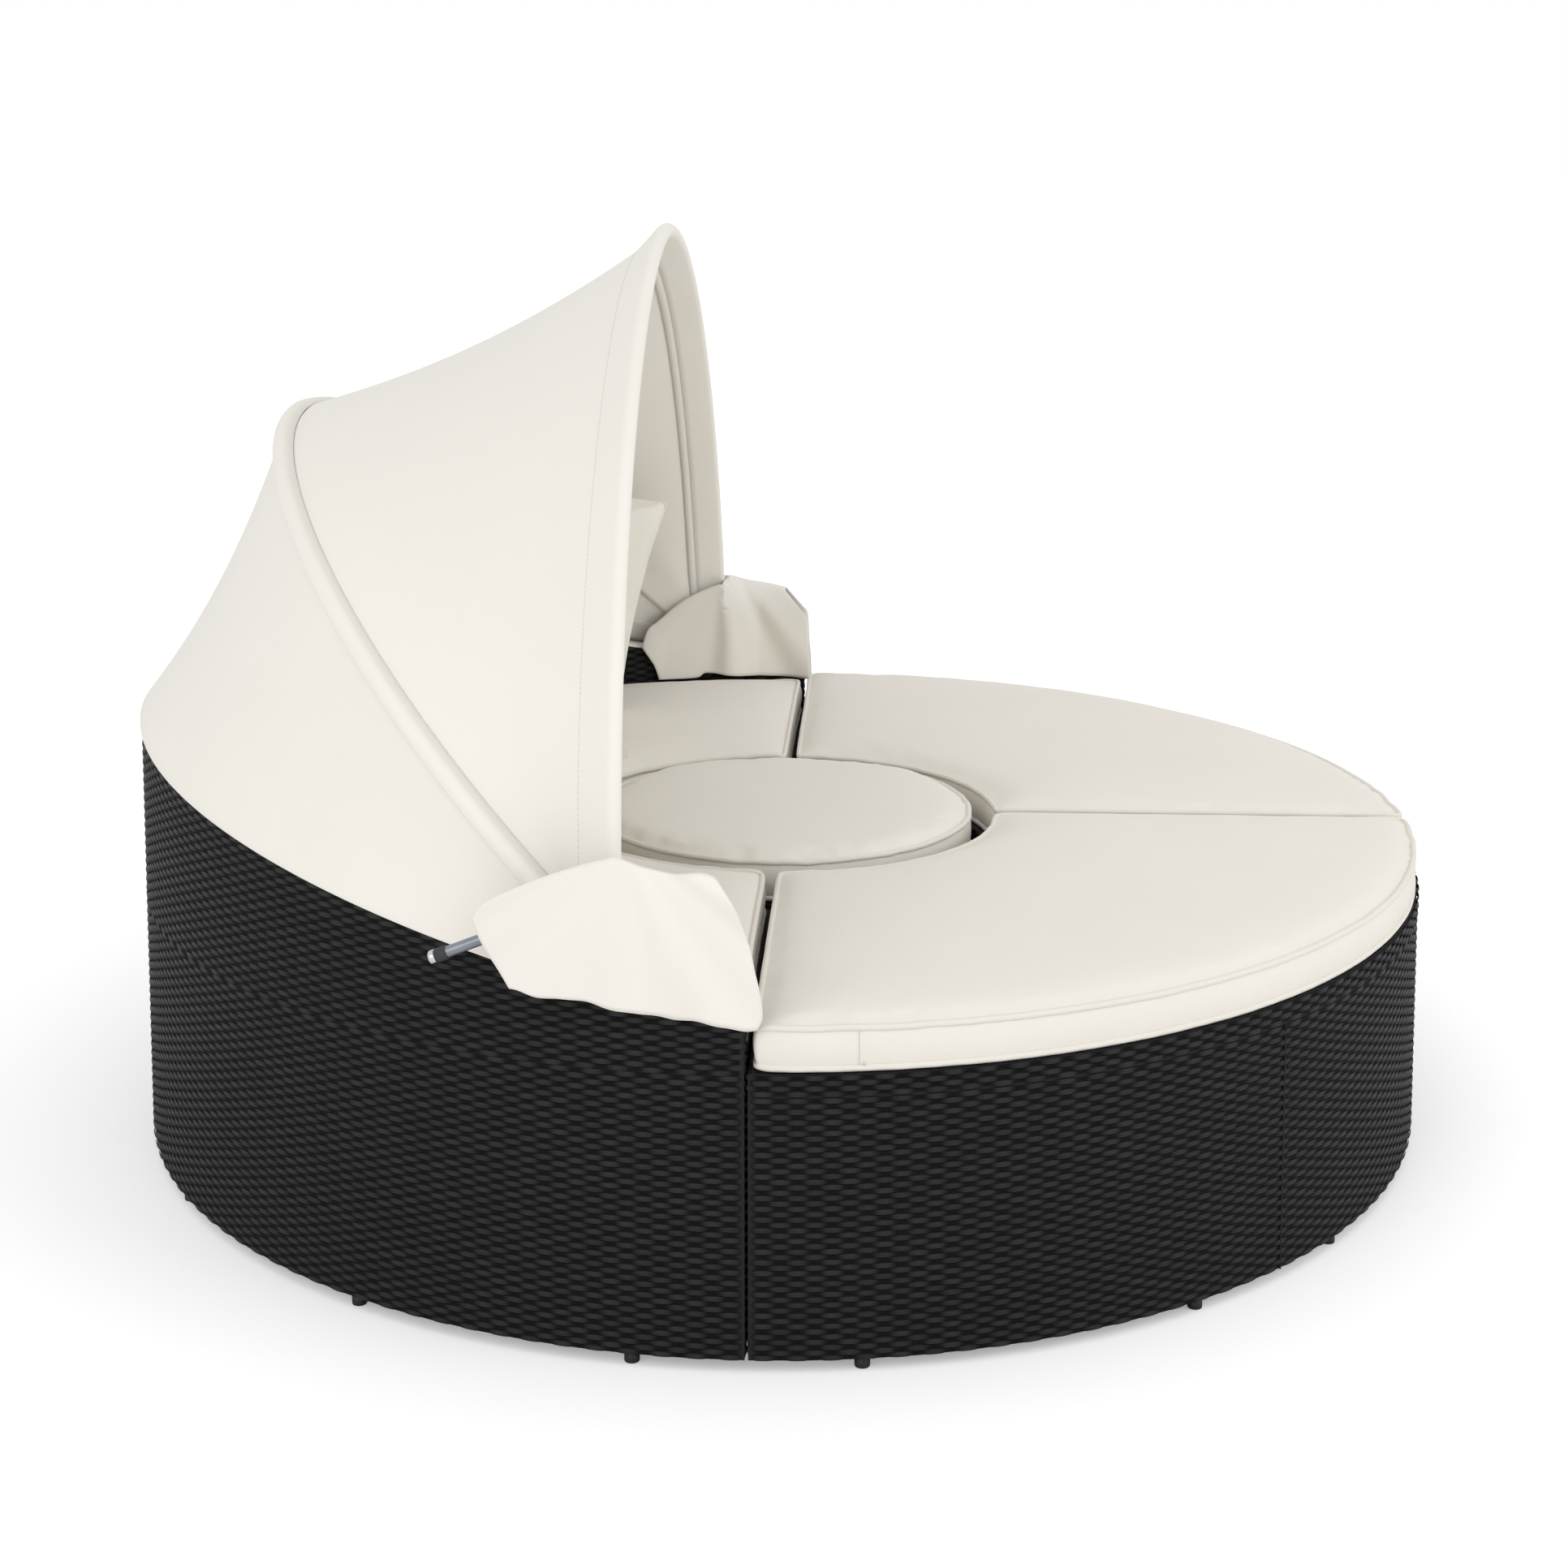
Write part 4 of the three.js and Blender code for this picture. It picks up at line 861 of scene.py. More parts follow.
def eased(count):
    """Places from -1 to 1 that stand closer together towards both ends."""
    steps = range(count + 1)
    return [-math.cos(math.pi * i / count) * 0.6 + (2 * i / count - 1) * 0.4 for i in steps]


def border(columns, rows):
    """Places of a grid once round its edge."""
    around = [(i, 0) for i in range(columns)] + [(columns, j) for j in range(rows)]
    around += [(i, rows) for i in range(columns, 0, -1)]
    return around + [(0, j) for j in range(rows, 0, -1)]


def cushion_mesh(plan, columns, rows, low, high, crown, corners, seed):
    """Crowned top, boxing that stands out between its puckered seams, and a flat underside."""
    u_of, v_of = eased(columns), eased(rows)
    verts, faces = [], []

    def put(u, v, inset, z):
        pull = CORNER_PULL * (abs(u) * abs(v)) ** 22 if corners else 0.0
        verts.append((*plan.place(u, v, inset + pull), z))
        return len(verts) - 1

    def top(u, v):
        edge = max(abs(u), abs(v))
        share = (1 - abs(u) ** 6) * (1 - abs(v) ** 6) if corners else 1 - edge**4
        x, y = plan.place(u, v, 0)
        pucker = noise.noise(Vector((x * 22, y * 22, seed))) * 1.6 * MM * edge**8 * (1 - edge**40)
        cloud = noise.noise(Vector((x * 5, y * 5, seed + 3))) * 1.8 * MM * (1 - edge**8)
        return high - SEAM_DIP * edge**26 + crown * share + pucker + cloud

    inset = BULGE + SEAM_IN
    face_top = [[put(u, v, inset, top(u, v)) for u in u_of] for v in v_of]
    face_low = [[put(u, v, inset, low) for u in u_of] for v in v_of]
    for j in range(rows):
        for i in range(columns):
            for face, a, b in ((face_top, j, j + 1), (face_low, j + 1, j)):
                faces.append((face[a][i], face[a][i + 1], face[b][i + 1], face[b][i]))
    around = border(columns, rows)
    edge_high, edge_low = high - CORD_DROP, low + BASE_RISE
    rings = [[face_top[j][i] for i, j in around]]
    for t in np.linspace(0, 1, 11):
        z = edge_high + (edge_low - edge_high) * t
        inset = BULGE * (1 - math.sin(math.pi * t) ** 0.7)
        ring = []
        for i, j in around:
            x, y = plan.place(u_of[i], v_of[j], 0)
            ripple = noise.noise(Vector((x * 26, y * 26, seed + z * 18))) * 1.2 * MM
            ring.append(put(u_of[i], v_of[j], inset + ripple, z))
        rings.append(ring)
    rings.append([face_low[j][i] for i, j in around])
    for a, b in zip(rings[:-1], rings[1:]):
        for k in range(len(around)):
            n = (k + 1) % len(around)
            faces.append((a[n], a[k], b[k], b[n]))
    seams = [[verts[k] for k in ring] for ring in (rings[1], rings[-2])]
    return verts, faces, seams


def points_of(piece):
    return np.array([v.co for v in piece.data.vertices])


def move_points(piece, points):
    piece.data.vertices.foreach_set("co", points.astype(np.float32).ravel())


def swell(piece, voxel, cap, fill):
    """Fills a closed cover with air by cloth simulation, no point moving further than cap."""
    remesh = piece.modifiers.new("voxels", "REMESH")
    remesh.mode = "VOXEL"
    remesh.voxel_size = voxel
    apply_modifiers(piece)
    rest = points_of(piece)
    cloth = piece.modifiers.new("air", "CLOTH")
    cloth.settings.use_pressure = True
    cloth.settings.uniform_pressure_force = fill
    cloth.settings.effector_weights.gravity = 0.0
    cloth.settings.quality = 4
    scene = bpy.context.scene
    scene.frame_start = 1
    scene.frame_end = AIR_STEPS
    for number in range(1, AIR_STEPS + 1):
        scene.frame_set(number)
    apply_modifiers(piece)
    scene.frame_set(1)
    moved = points_of(piece) - rest
    size = np.linalg.norm(moved, axis=1, keepdims=True)
    move_points(piece, rest + moved * np.minimum(1, cap / np.maximum(size, 1e-9)))
    smooth = piece.modifiers.new("finer", "SUBSURF")
    smooth.levels = 1
    smooth.render_levels = 1
    apply_modifiers(piece)
    piece.data.shade_smooth()


def apply_modifiers(piece):
    depsgraph = bpy.context.evaluated_depsgraph_get()
    made = bpy.data.meshes.new_from_object(piece.evaluated_get(depsgraph), depsgraph=depsgraph)
    material = piece.data.materials[0]
    piece.modifiers.clear()
    piece.data = made
    if not made.materials:
        made.materials.append(material)
    piece.data.materials[0] = material


def held_to(piece, points, sink):
    """Points moved to the surface that they are sewn to, less a little sink."""
    tree = BVHTree.FromObject(piece, bpy.context.evaluated_depsgraph_get())
    out = []
    for p in points:
        spot, normal, _, _ = tree.find_nearest(Vector(p))
        out.append(np.array(spot - normal * sink))
    return out


def level_base(piece, low):
    """The underside rests flat: nothing reaches below it."""
    co = points_of(piece)
    co[:, 2] = np.maximum(co[:, 2], low)
    move_points(piece, co)
    piece.data.update()


def cushion(name, node, body, plan, cells, sizes, seed, voxel, high=CUSHION_HIGH, corners=True):
    """A box cushion with piping round both seams, in place of a CAD cushion."""
    low = CUSHION_LOW
    verts, faces, seams = cushion_mesh(plan, *cells, low, high, sizes.crown, corners, seed)
    piece = add_piece(name, verts, faces, "cushion", None, "cushion_fabric")
    fix_normals(piece)
    swell(piece, voxel, 5 * MM, 2.0)
    level_base(piece, low)
    radius = sizes.piping_radius
    cords = []
    for seam in seams:
        line = held_to(piece, seam, -radius * 0.35)
        line = [np.array((p[0], p[1], max(p[2], low + radius))) for p in line]
        cords.append(sweep(smooth_loop(line, 1), radius, 8, True))
    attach(piece, body)
    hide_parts(node)
    add_piece(f"{name}_piping", *merged(cords), "piping", body, "cushion_fabric")
    return piece


# Operators
QUARTER = math.pi / 2
OTTOMANS = (("ottoman_right", -QUARTER, 0.0), ("ottoman_left", math.pi, math.pi + QUARTER))
SIDES = (("right", 1), ("left", -1))

CAMERA_PLACE = (-3.6990, -0.1684, 1.43755)
CAMERA_AZIMUTH, CAMERA_PITCH = 0.0455, 0.12
CAMERA_LENS, CAMERA_SENSOR = 60.01, 36.0
CAMERA_SHIFT_X, CAMERA_SHIFT_Y = 0.0010, -0.2394
LAMPS = {"key": (-4.6, 2.0, 2.6), "fill": (-2.2, -4.4, 2.4)}
LAMP_SIZE, LAMP_POWER, LAMP_AIM_Z = 3.0, 51.0, 0.4
WORLD_LIGHT = 0.84
FLOOR_HALF = 40.0


class DaybedOperator:
    bl_options = {"REGISTER"}

    def sizes(self, context):
        return context.scene.daybed_sizes

    def aim(self, item, place, way):
        """Puts a camera or lamp at its place, looking this way."""
        item.location = place
        item.rotation_mode = "QUATERNION"
        item.rotation_quaternion = way.to_track_quat("-Z", "Y")


class DAYBED_OT_stage(DaybedOperator, bpy.types.Operator):
    """Camera, floor, backdrop and soft light"""

    bl_idname = "daybed.stage"
    bl_label = "Stage"

    def execute(self, context):
        data = bpy.data.cameras.new("camera")
        data.sensor_width = CAMERA_SENSOR
        data.lens = CAMERA_LENS
        data.shift_x = CAMERA_SHIFT_X
        data.shift_y = CAMERA_SHIFT_Y
        camera = place_object("camera", data)
        level = math.cos(CAMERA_PITCH)
        x, y = math.cos(CAMERA_AZIMUTH) * level, math.sin(CAMERA_AZIMUTH) * level
        self.aim(camera, CAMERA_PLACE, Vector((x, y, -math.sin(CAMERA_PITCH))))
        context.scene.camera = camera
        self.floor(tuple(context.scene.daybed_colours.floor))
        self.lights(context.scene)
        context.scene.view_settings.view_transform = "Standard"
        return {"FINISHED"}

    def floor(self, colour):
        material = new_material("stage_floor", colour, 0.9)
        tree = material.node_tree
        shader = tree.nodes["Principled BSDF"]
        vary(material, Base_Color=tint(tree, mottle(tree, 0.7), colour, 0.99, 1.01))
        seen = Value(tree, make_node(tree, "ShaderNodeLightPath").outputs["Is Camera Ray"])
        x, y, _ = split(tree, place_of(tree))
        away = (x * x + y * y).math("SQRT")
        lift = smooth_range(tree, away, 0.9, 3.2, FLOOR_LIFT_NEAR, FLOOR_LIFT_FAR)
        glow = make_node(tree, "ShaderNodeEmission", inputs={"Strength": seen * lift})
        both = {0: shader.outputs[0], 1: glow.outputs[0]}
        added = make_node(tree, "ShaderNodeAddShader", inputs=both)
        feed(tree, tree.nodes["Material Output"].inputs["Surface"], added.outputs[0])
        mesh = bpy.data.meshes.new("floor")
        signs = ((-1, -1), (1, -1), (1, 1), (-1, 1))
        mesh.from_pydata([(x * FLOOR_HALF, y * FLOOR_HALF, 0) for x, y in signs], [], [(0, 1, 2, 3)])
        mesh.materials.append(material)
        place_object("floor", mesh)

    def lights(self, scene):
        for name, place in LAMPS.items():
            data = bpy.data.lights.new(name, "AREA")
            data.shape = "SQUARE"
            data.size = LAMP_SIZE
            data.energy = LAMP_POWER
            self.aim(place_object(name, data), place, Vector((0, 0, LAMP_AIM_Z)) - Vector(place))
        world = scene.world or bpy.data.worlds.new("studio")
        scene.world = world
        world.use_nodes = True
        tree = world.node_tree
        tree.nodes.clear()
        path = make_node(tree, "ShaderNodeLightPath")
        light, seen = (
            make_node(tree, "ShaderNodeBackground", inputs={0: (1, 1, 1, 1), 1: strength})
            for strength in (WORLD_LIGHT, 1.0)
        )
        inputs = {0: path.outputs["Is Camera Ray"], 1: light.outputs[0], 2: seen.outputs[0]}
        mix = make_node(tree, "ShaderNodeMixShader", inputs=inputs)
        make_node(tree, "ShaderNodeOutputWorld", inputs={0: mix.outputs[0]})


class DAYBED_OT_finishes(DaybedOperator, bpy.types.Operator):
    """Materials of the whole daybed, and those of the parts that stay as they are"""

    bl_idname = "daybed.finishes"
    bl_label = "Finishes"

    def execute(self, context):
        make_finishes(context.scene.daybed_colours)
        kinds = {
            "_frame": "coat",
            # The wicker skins behind the weave take the near-black painted shade.
            "_wicker": "shadow",
            "_deck": "webbing",
            "hinge_bracket": "bracket",
            "arm_stay": "bracket",
        }
        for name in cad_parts:
            for part, finish in kinds.items():
                if part in name:
                    materials = bpy.data.objects[name].data.materials
                    materials.clear()
                    materials.append(FINISHES[finish])
        return {"FINISHED"}


class DAYBED_OT_weave(DaybedOperator, bpy.types.Operator):
    """Woven skirts and the woven back wall"""

    bl_idname = "daybed.weave"
    bl_label = "Weave"

    def execute(self, context):
        sizes = self.sizes(context)
        for module, start, end in OTTOMANS:
            path = slice_outline(BAY_R, start, end)
            woven_skin(f"{module}_weave", path, FOOT_TOP, SEAT, module, sizes, grooved=True)
            middle = (start + end) / 2
            x, y = math.cos(middle), math.sin(middle)
            reach = WICKER_R + 1.6 * MM
            line = [(x * reach, y * reach, z) for z in np.linspace(FOOT_TOP, GROOVE_Z, 12)]
            add_piece(f"{module}_weave_seam", *sweep(line, 1.3 * MM, 8), "shadow", module)
        path = arc(TABLE_R, 0.0, 2 * math.pi)[:-1]
        woven_skin("table_weave", path, FOOT_TOP, SEAT, "table", sizes, grooved=True)
        path = slice_outline(BAY_R, 0.0, math.pi)
        woven_skin("sofa_base_weave", path, FOOT_TOP, SEAT, "sofa", sizes)
        rows_below = round((SEAT - FOOT_TOP) / sizes.row_pitch)
        low = FOOT_TOP + rows_below * sizes.row_pitch
        path = slice_outline(WALL_R, 0.0, math.pi)
        rim = (RIM_FRONT, RIM_RISE)
        woven_skin("sofa_wall_weave", path, low, RIM_REAR, "sofa", sizes, rim)
        return {"FINISHED"}


class DAYBED_OT_cushions(DaybedOperator, bpy.types.Operator):
    """Box cushions with piping on all four modules"""

    bl_idname = "daybed.cushions"
    bl_label = "Cushions"

    def execute(self, context):
        sizes = self.sizes(context)
        inner = BAY_R + PLAN_GAP
        plan = Plan(inner, WALL_R - PLAN_GAP, 0.0, math.pi)
        cells, voxel = (150, 40), 11 * MM
        cushion("seat_cushion", "sofa_seat_cushion", "sofa", plan, cells, sizes, 2.0, voxel)
        cells, voxel = (84, 44), 8 * MM
        for (module, start, end), seed in zip(OTTOMANS, (4.0, 6.0)):
            plan = Plan(inner, WICKER_R + REACH_OUT, start, end)
            names = (f"{module}_pad", f"{module}_cushion", module)
            pad = cushion(*names, plan, cells, sizes, seed, voxel)
            self.boxing_seam(module, pad)
        plan = RoundPlan(TABLE_R + PLAN_GAP)
        names = ("table_pad", "table_cushion", "table")
        cushion(*names, plan, (56, 56), sizes, 8.0, 7 * MM, TABLE_PAD_HIGH, False)
        return {"FINISHED"}

    def boxing_seam(self, module, pad):
        """Upright seam in the boxing, with the zip pull under it."""
        side = -1 if module == "ottoman_left" else 1
        way = np.array((side * 0.990, -0.141, 0.0))
        across = np.array((-way[1], way[0], 0.0)) * 6 * MM
        up = np.array((0, 0, 1))
        heights = np.linspace(CUSHION_LOW + 6 * MM, CUSHION_HIGH - 6 * MM, 12)
        line = held_to(pad, [way * WICKER_R + up * z for z in heights], -0.2 * MM)
        add_piece(f"{module}_boxing_seam", *sweep(line, 0.7 * MM, 6), "thread", module)
        start = held_to(pad, [line[0] + across], -1.6 * MM)[0]
        pull = [start + up * z for z in np.linspace(5 * MM, -5 * MM, 5)]
        add_piece(f"{module}_zip_pull", *sweep(pull, 1.2 * MM, 8), "plug", module)


class DAYBED_OT_pillow(DaybedOperator, bpy.types.Operator):
    """Throw pillow that stands on the seat"""

    bl_idname = "daybed.pillow"
    bl_label = "Pillow"

    def execute(self, context):
        low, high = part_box("throw_pillow")
        centre = (low + high) / 2
        half, thick, draw = 0.185, 0.115, 0.014
        yaw, lean, roll = (math.radians(a) for a in (30, 12, 20))
        flat = Vector((-math.cos(yaw), -math.sin(yaw), 0))
        out = flat * math.cos(lean) + Vector((0, 0, math.sin(lean)))
        side = Vector((0, 0, 1)).cross(out).normalized()
        basis = Matrix((side, out.cross(side), out)).transposed() @ Matrix.Rotation(-roll, 3, "Z")
        cells = 40
        verts, ids, faces = [], {}, []

        def put(i, j, face):
            edge = i in (0, cells) or j in (0, cells)
            key = (i, j, 0 if edge else face)
            if key not in ids:
                u, v = (-math.cos(math.pi * k / cells) for k in (i, j))
                z = 0.0
                if not edge:
                    dome = ((1 - u * u) * (1 - v * v)) ** 0.55
                    crease = noise.noise(Vector((u * 3, v * 3, 5.0 * face))) * 5 * MM * (1 - dome)
                    z = face * (dome * thick / 2 * 0.93 + crease)
                x = u * (half - draw * (1 - v * v))
                y = v * (half - draw * (1 - u * u))
                verts.append(tuple(centre + basis @ Vector((x, y, z))))
                ids[key] = len(verts) - 1
            return ids[key]

        for j in range(cells):
            for i in range(cells):
                for face in (1, -1):
                    corners = ((i, j), (i + 1, j), (i + 1, j + 1), (i, j + 1))
                    ring = [put(*corner, face) for corner in corners]
                    faces.append(tuple(ring if face > 0 else reversed(ring)))
        seam = [verts[ids[(i, j, 0)]] for i, j in border(cells, cells)]
        piece = add_piece("pillow", verts, faces, "cushion", None, "cushion_fabric")
        fix_normals(piece)
        swell(piece, 5 * MM, 7 * MM, 4.0)
        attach(piece, "sofa")
        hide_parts("throw_pillow")
        cord = sweep(smooth_loop(held_to(piece, seam, 0.0), 2), 2.2 * MM, 8, True)
        add_piece("pillow_seam", *cord, "piping", "sofa", "cushion_fabric")
        return {"FINISHED"}


class DAYBED_OT_canopy(DaybedOperator, bpy.types.Operator):
    """Hoops and the cloth that they carry"""

    bl_idname = "daybed.canopy"
    bl_label = "Canopy"

    def execute(self, context):
        mid, front = mid_frame(SHARES), front_frame(SHARES)
        self.hoop("mid_hoop", mid_point, MID_HALF)
        self.hoop("front_hoop", front_point, FRONT_HALF)
        self.front_panel(mid, front)
        self.rear_panel(mid)
        self.rim_band()
        return {"FINISHED"}

    def hoop(self, body, point_at, half):
        """A hoop's tube, with the round eyes at its ends."""
        tube = sweep(point_at(np.linspace(0.0, math.pi, 161)), HOOP_TUBE_R - 0.1 * MM, 16)
        r, h = HOOP_TUBE_R, 2 * HOOP_TUBE_R
        profile = [(0, 0), (r * 0.5, 0), (r * 0.9, 0.0), (r, r * 0.1)]
        profile += [(r, h - r * 0.1), (r * 0.9, h), (r * 0.5, h), (0, h)]
        eyes = [lathe(profile, (x - r, PIVOT_Y, PIVOT_Z), (1, 0, 0), 24) for x in (half, -half)]
        piece = add_piece(f"{body}_tube", *merged([tube, *eyes]), "tube", body, "hoop_tube")
        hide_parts(f"canopy_{body}")

    def front_panel(self, mid, front):
        """Cloth from the middle hoop over the front hoop, with a pocket hemmed behind it."""
        tail = [shifted(mid, SLEEVE_SIDE * t, SKIN_LEVEL) for t in (1.0, 0.5, 0.0, -0.5)]
        seam = shifted(mid, -SLEEVE_SIDE - CLOTH, SKIN_LEVEL)
        pocket = shifted(front, FRONT_POCKET, SEWN_LEVEL)
        sag = 22 * MM * np.sin(math.pi * SHARES)
        hang = hanging(seam, pocket, front[2], sag, SHARES, 1.0)
        reach = math.hypot(FRONT_POCKET, SEWN_LEVEL)
        leave = math.atan2(SEWN_LEVEL, FRONT_POCKET) + math.acos(SLEEVE_R / reach)
        back, out = SLEEVE_R * math.cos(leave) - FRONT_POCKET, SLEEVE_R * math.sin(leave) - SEWN_LEVEL
        flat = [
            shifted(front, FRONT_POCKET + back * t, SEWN_LEVEL + out * t)
            for t in (0.03, 0.3, 0.6, 0.97)
        ]
        around = wrapped(front, SLEEVE_R, leave, math.pi * 1.5)
        under = [shifted(front, FRONT_POCKET * t, SKIN_LEVEL - CLOTH) for t in (0.35, 0.7, 1.0)]
        lines = [*tail, seam, *hang, pocket, *flat, *around, *under]
        piece = strip("canopy_front_cloth", lines, "canopy", None, front[2])
        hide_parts("canopy_front_panel")
        self.join_front(piece)
        hoops = ["canopy_front_hoop", "canopy_mid_hoop"]
        self.declare(piece, lines, hoops, line_length(front[0]))
        below = SKIN_LEVEL - CLOTH * 1.9
        starts = [FRONT_POCKET + BINDING * (t - 0.2) for t in (0, 0.5, 1)]
        edge = [shifted(front, start, below) for start in starts]
        self.join_front(strip("canopy_binding", edge, "binding", None, -front[2], 0.8 * MM))
        line = shifted(front, FRONT_POCKET - 1.5 * MM, SEWN_LEVEL + 0.6 * MM)
        self.join_front(stitch_row("front_hem_stitches", line))

    def rear_panel(self, mid):
        """Cloth from the wall's rim to the middle hoop, with the sleeve that goes round the hoop."""
        hem = rim_point(SHARES, HEM_R, -HEM_DROP)
        rim = rim_point(SHARES, HEM_R, 0.0)
        base = shifted(mid, SLEEVE_SIDE, SEWN_LEVEL)
        sag = 18 * MM * np.sin(math.pi * SHARES)
        hang = hanging(rim, base, mid[2], sag, SHARES, 5.0)
        over = math.radians(12)
        sleeve = wrapped(mid, SLEEVE_R, -over, math.pi + over)
        tail = shifted(mid, -SLEEVE_SIDE, SEWN_LEVEL)
        drop = [hem + (rim - hem) * t for t in (0.0, 0.33, 0.66)]
        lines = [*drop, rim, *hang, base, *sleeve, tail]
        piece = strip("canopy_rear_cloth", lines, "canopy", None, mid[2])
        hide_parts("canopy_rear_panel")
        self.join_rear(piece)
        self.declare(piece, lines, ["canopy_mid_hoop", "sofa_wicker_outer"], line_length(rim))
        line = shifted(mid, -SLEEVE_R - SLEEVE_FLANGE * 0.4, SEWN_LEVEL + 0.7 * MM)
        self.join_rear(stitch_row("sleeve_stitches", line))
        self.inner_hem(hang[3], mid[2])

    def inner_hem(self, above, out):
        """Hem of the rear cloth, folded to its inside above the wall, with its stitches."""
        edge = rim_point(SHARES, HEM_R - 2.0 * MM, 3 * MM)
        way = unit(above - edge)
        inward = unit(np.cross(way, np.gradient(edge, axis=0)))
        inward *= np.where((inward * out).sum(1, keepdims=True) > 0, -1.0, 1.0)
        lines = [edge + way * INNER_HEM * t + inward * 2.2 * MM for t in np.linspace(0, 1, 6)]
        self.join_rear(strip("inner_hem_cloth", lines, "binding", None, inward, 1.0 * MM))
        line = lines[-1] - way * 3 * MM + inward * 0.4 * MM
        self.join_rear(stitch_row("inner_hem_stitches", line, raised=False))

    def across_fold(self, slant, reach):
        """A point on the hinge axis moved square to a fold line that rises at this slant."""
        way = Vector((0, -math.sin(slant), math.cos(slant)))
        return Vector((0, PIVOT_Y, PIVOT_Z)) + way * reach

    def join_front(self, piece):
        """Bakes the piece's transform into its points; the cloth is not tied to either hoop."""
        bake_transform(piece)

    def join_rear(self, piece):
        """Bakes the piece's transform into its points; the cloth is not tied to the wall or the
        middle hoop.
        """
        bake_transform(piece)

    def declare(self, piece, lines, rests_on, width):
        """Works out the width that a stretched sheet's area needs, no less than the given width; the
        result is not kept.
        """
        grid = np.stack(lines, 1)
        length = max(line_length(row) for row in grid)
        area = float(cell_areas(grid).sum())
        width = max(width, area / length * 1.0005)

    def rim_band(self):
        """Band of cloth over the wall's rim, from its inner side."""
        inner = WALL_R - 2.5 * MM
        outer = WICKER_R - 6 * MM
        lift = 2.3 * MM
        down = [rim_point(SHARES, inner, -BAND_DROP * (1 - t)) for t in np.linspace(0, 1, 7)]
        edge = rim_point(SHARES, inner + 1.2 * MM, lift)
        across = [inner + (outer - inner) * t for t in (0.2, 0.6, 1.0)]
        over = [rim_point(SHARES, radius, lift + 0.3 * MM) for radius in across]
        lines = [*down, edge, *over]
        outward = unit(lines[0] * (-1, -1, 0))
        piece = strip("rim_band_cloth", lines, "canopy", "sofa", outward)
        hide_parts("canopy_rim_band")
        skins = ["sofa_wicker_inner", "sofa_wicker_outer"]
        self.declare(piece, lines, skins, line_length(lines[0]))


# Outlines of each flap's two leaves: hem, top, rear and front edge, as Y and height in mm
LEAVES = {
    ("left", "outer"): (
        [(263, 449), (222, 442), (162, 434), (127, 424), (39, 412), (0, 405), (-13, 404)],
        [(305, 527), (289, 548), (225, 577), (158, 599), (138, 601), (113, 591), (81, 582)]
        + [(51, 582), (33, 576)],
        [(263, 449), (284, 482), (298, 508), (305, 527)],
        [(-13, 404), (-19, 417), (-18, 438), (-11, 471), (-4, 502), (13, 546), (33, 576)],
    ),
    ("left", "inner"): (
        [(255, 409), (170, 411), (80, 410), (-4, 414)],
        [(274, 492), (257, 505), (222, 532), (188, 551), (142, 570), (103, 566), (38, 556)],
        [(255, 409), (278, 440), (283, 469), (274, 492)],
        [(-4, 414), (0, 469), (5, 510), (22, 538), (38, 556)],
    ),
    ("right", "outer"): (
        [(263, 449), (222, 442), (162, 434), (127, 424), (39, 408), (-11, 401)],
        [(300, 520), (285, 538), (225, 565), (158, 578), (138, 580), (103, 574), (50, 566)]
        + [(34, 563)],
        [(263, 449), (282, 480), (295, 504), (300, 520)],
        [(-11, 401), (-10, 438), (-7, 469), (-4, 513), (6, 527), (24, 550), (34, 563)],
    ),
    ("right", "inner"): (
        [(255, 409), (190, 410), (172, 418), (110, 413), (60, 409), (-11, 404)],
        [(285, 469), (274, 500), (257, 514), (222, 544), (188, 564), (142, 580), (103, 571)]
        + [(34, 560)],
        [(255, 409), (262, 432), (272, 450), (285, 469)],
        [(-11, 404), (-8, 469), (-4, 513), (6, 527), (24, 549), (34, 560)],
    ),
}
FLAP_PEAK_Y, FLAP_PEAK_Z = 0.139, 0.600
FOLD_ORIGIN_Z, FOLD_REACH = 0.625, 0.17
FLAP_ROWS, FLAP_COLUMNS = 61, 29
TUBE_CLEAR = ARM_TUBE_R + 3 * MM


def patch(edges, columns, rows):
    """A smooth grid between four edges, rows from rear to front and columns from hem to top."""
    hem, top, rear, front = (np.multiply(edge, MM) for edge in edges)
    low, high = resample(hem, rows), resample(top, rows)
    back, ahead = resample(rear, columns), resample(front, columns)
    u = np.linspace(0, 1, rows)[:, None, None]
    v = np.linspace(0, 1, columns)[None, :, None]
    flat = (1 - v) * low[:, None] + v * high[:, None] + (1 - u) * back[None] + u * ahead[None]
    low_corners = (1 - u) * (1 - v) * low[0] + u * (1 - v) * low[-1]
    return flat - low_corners - (1 - u) * v * high[0] - u * v * high[-1]


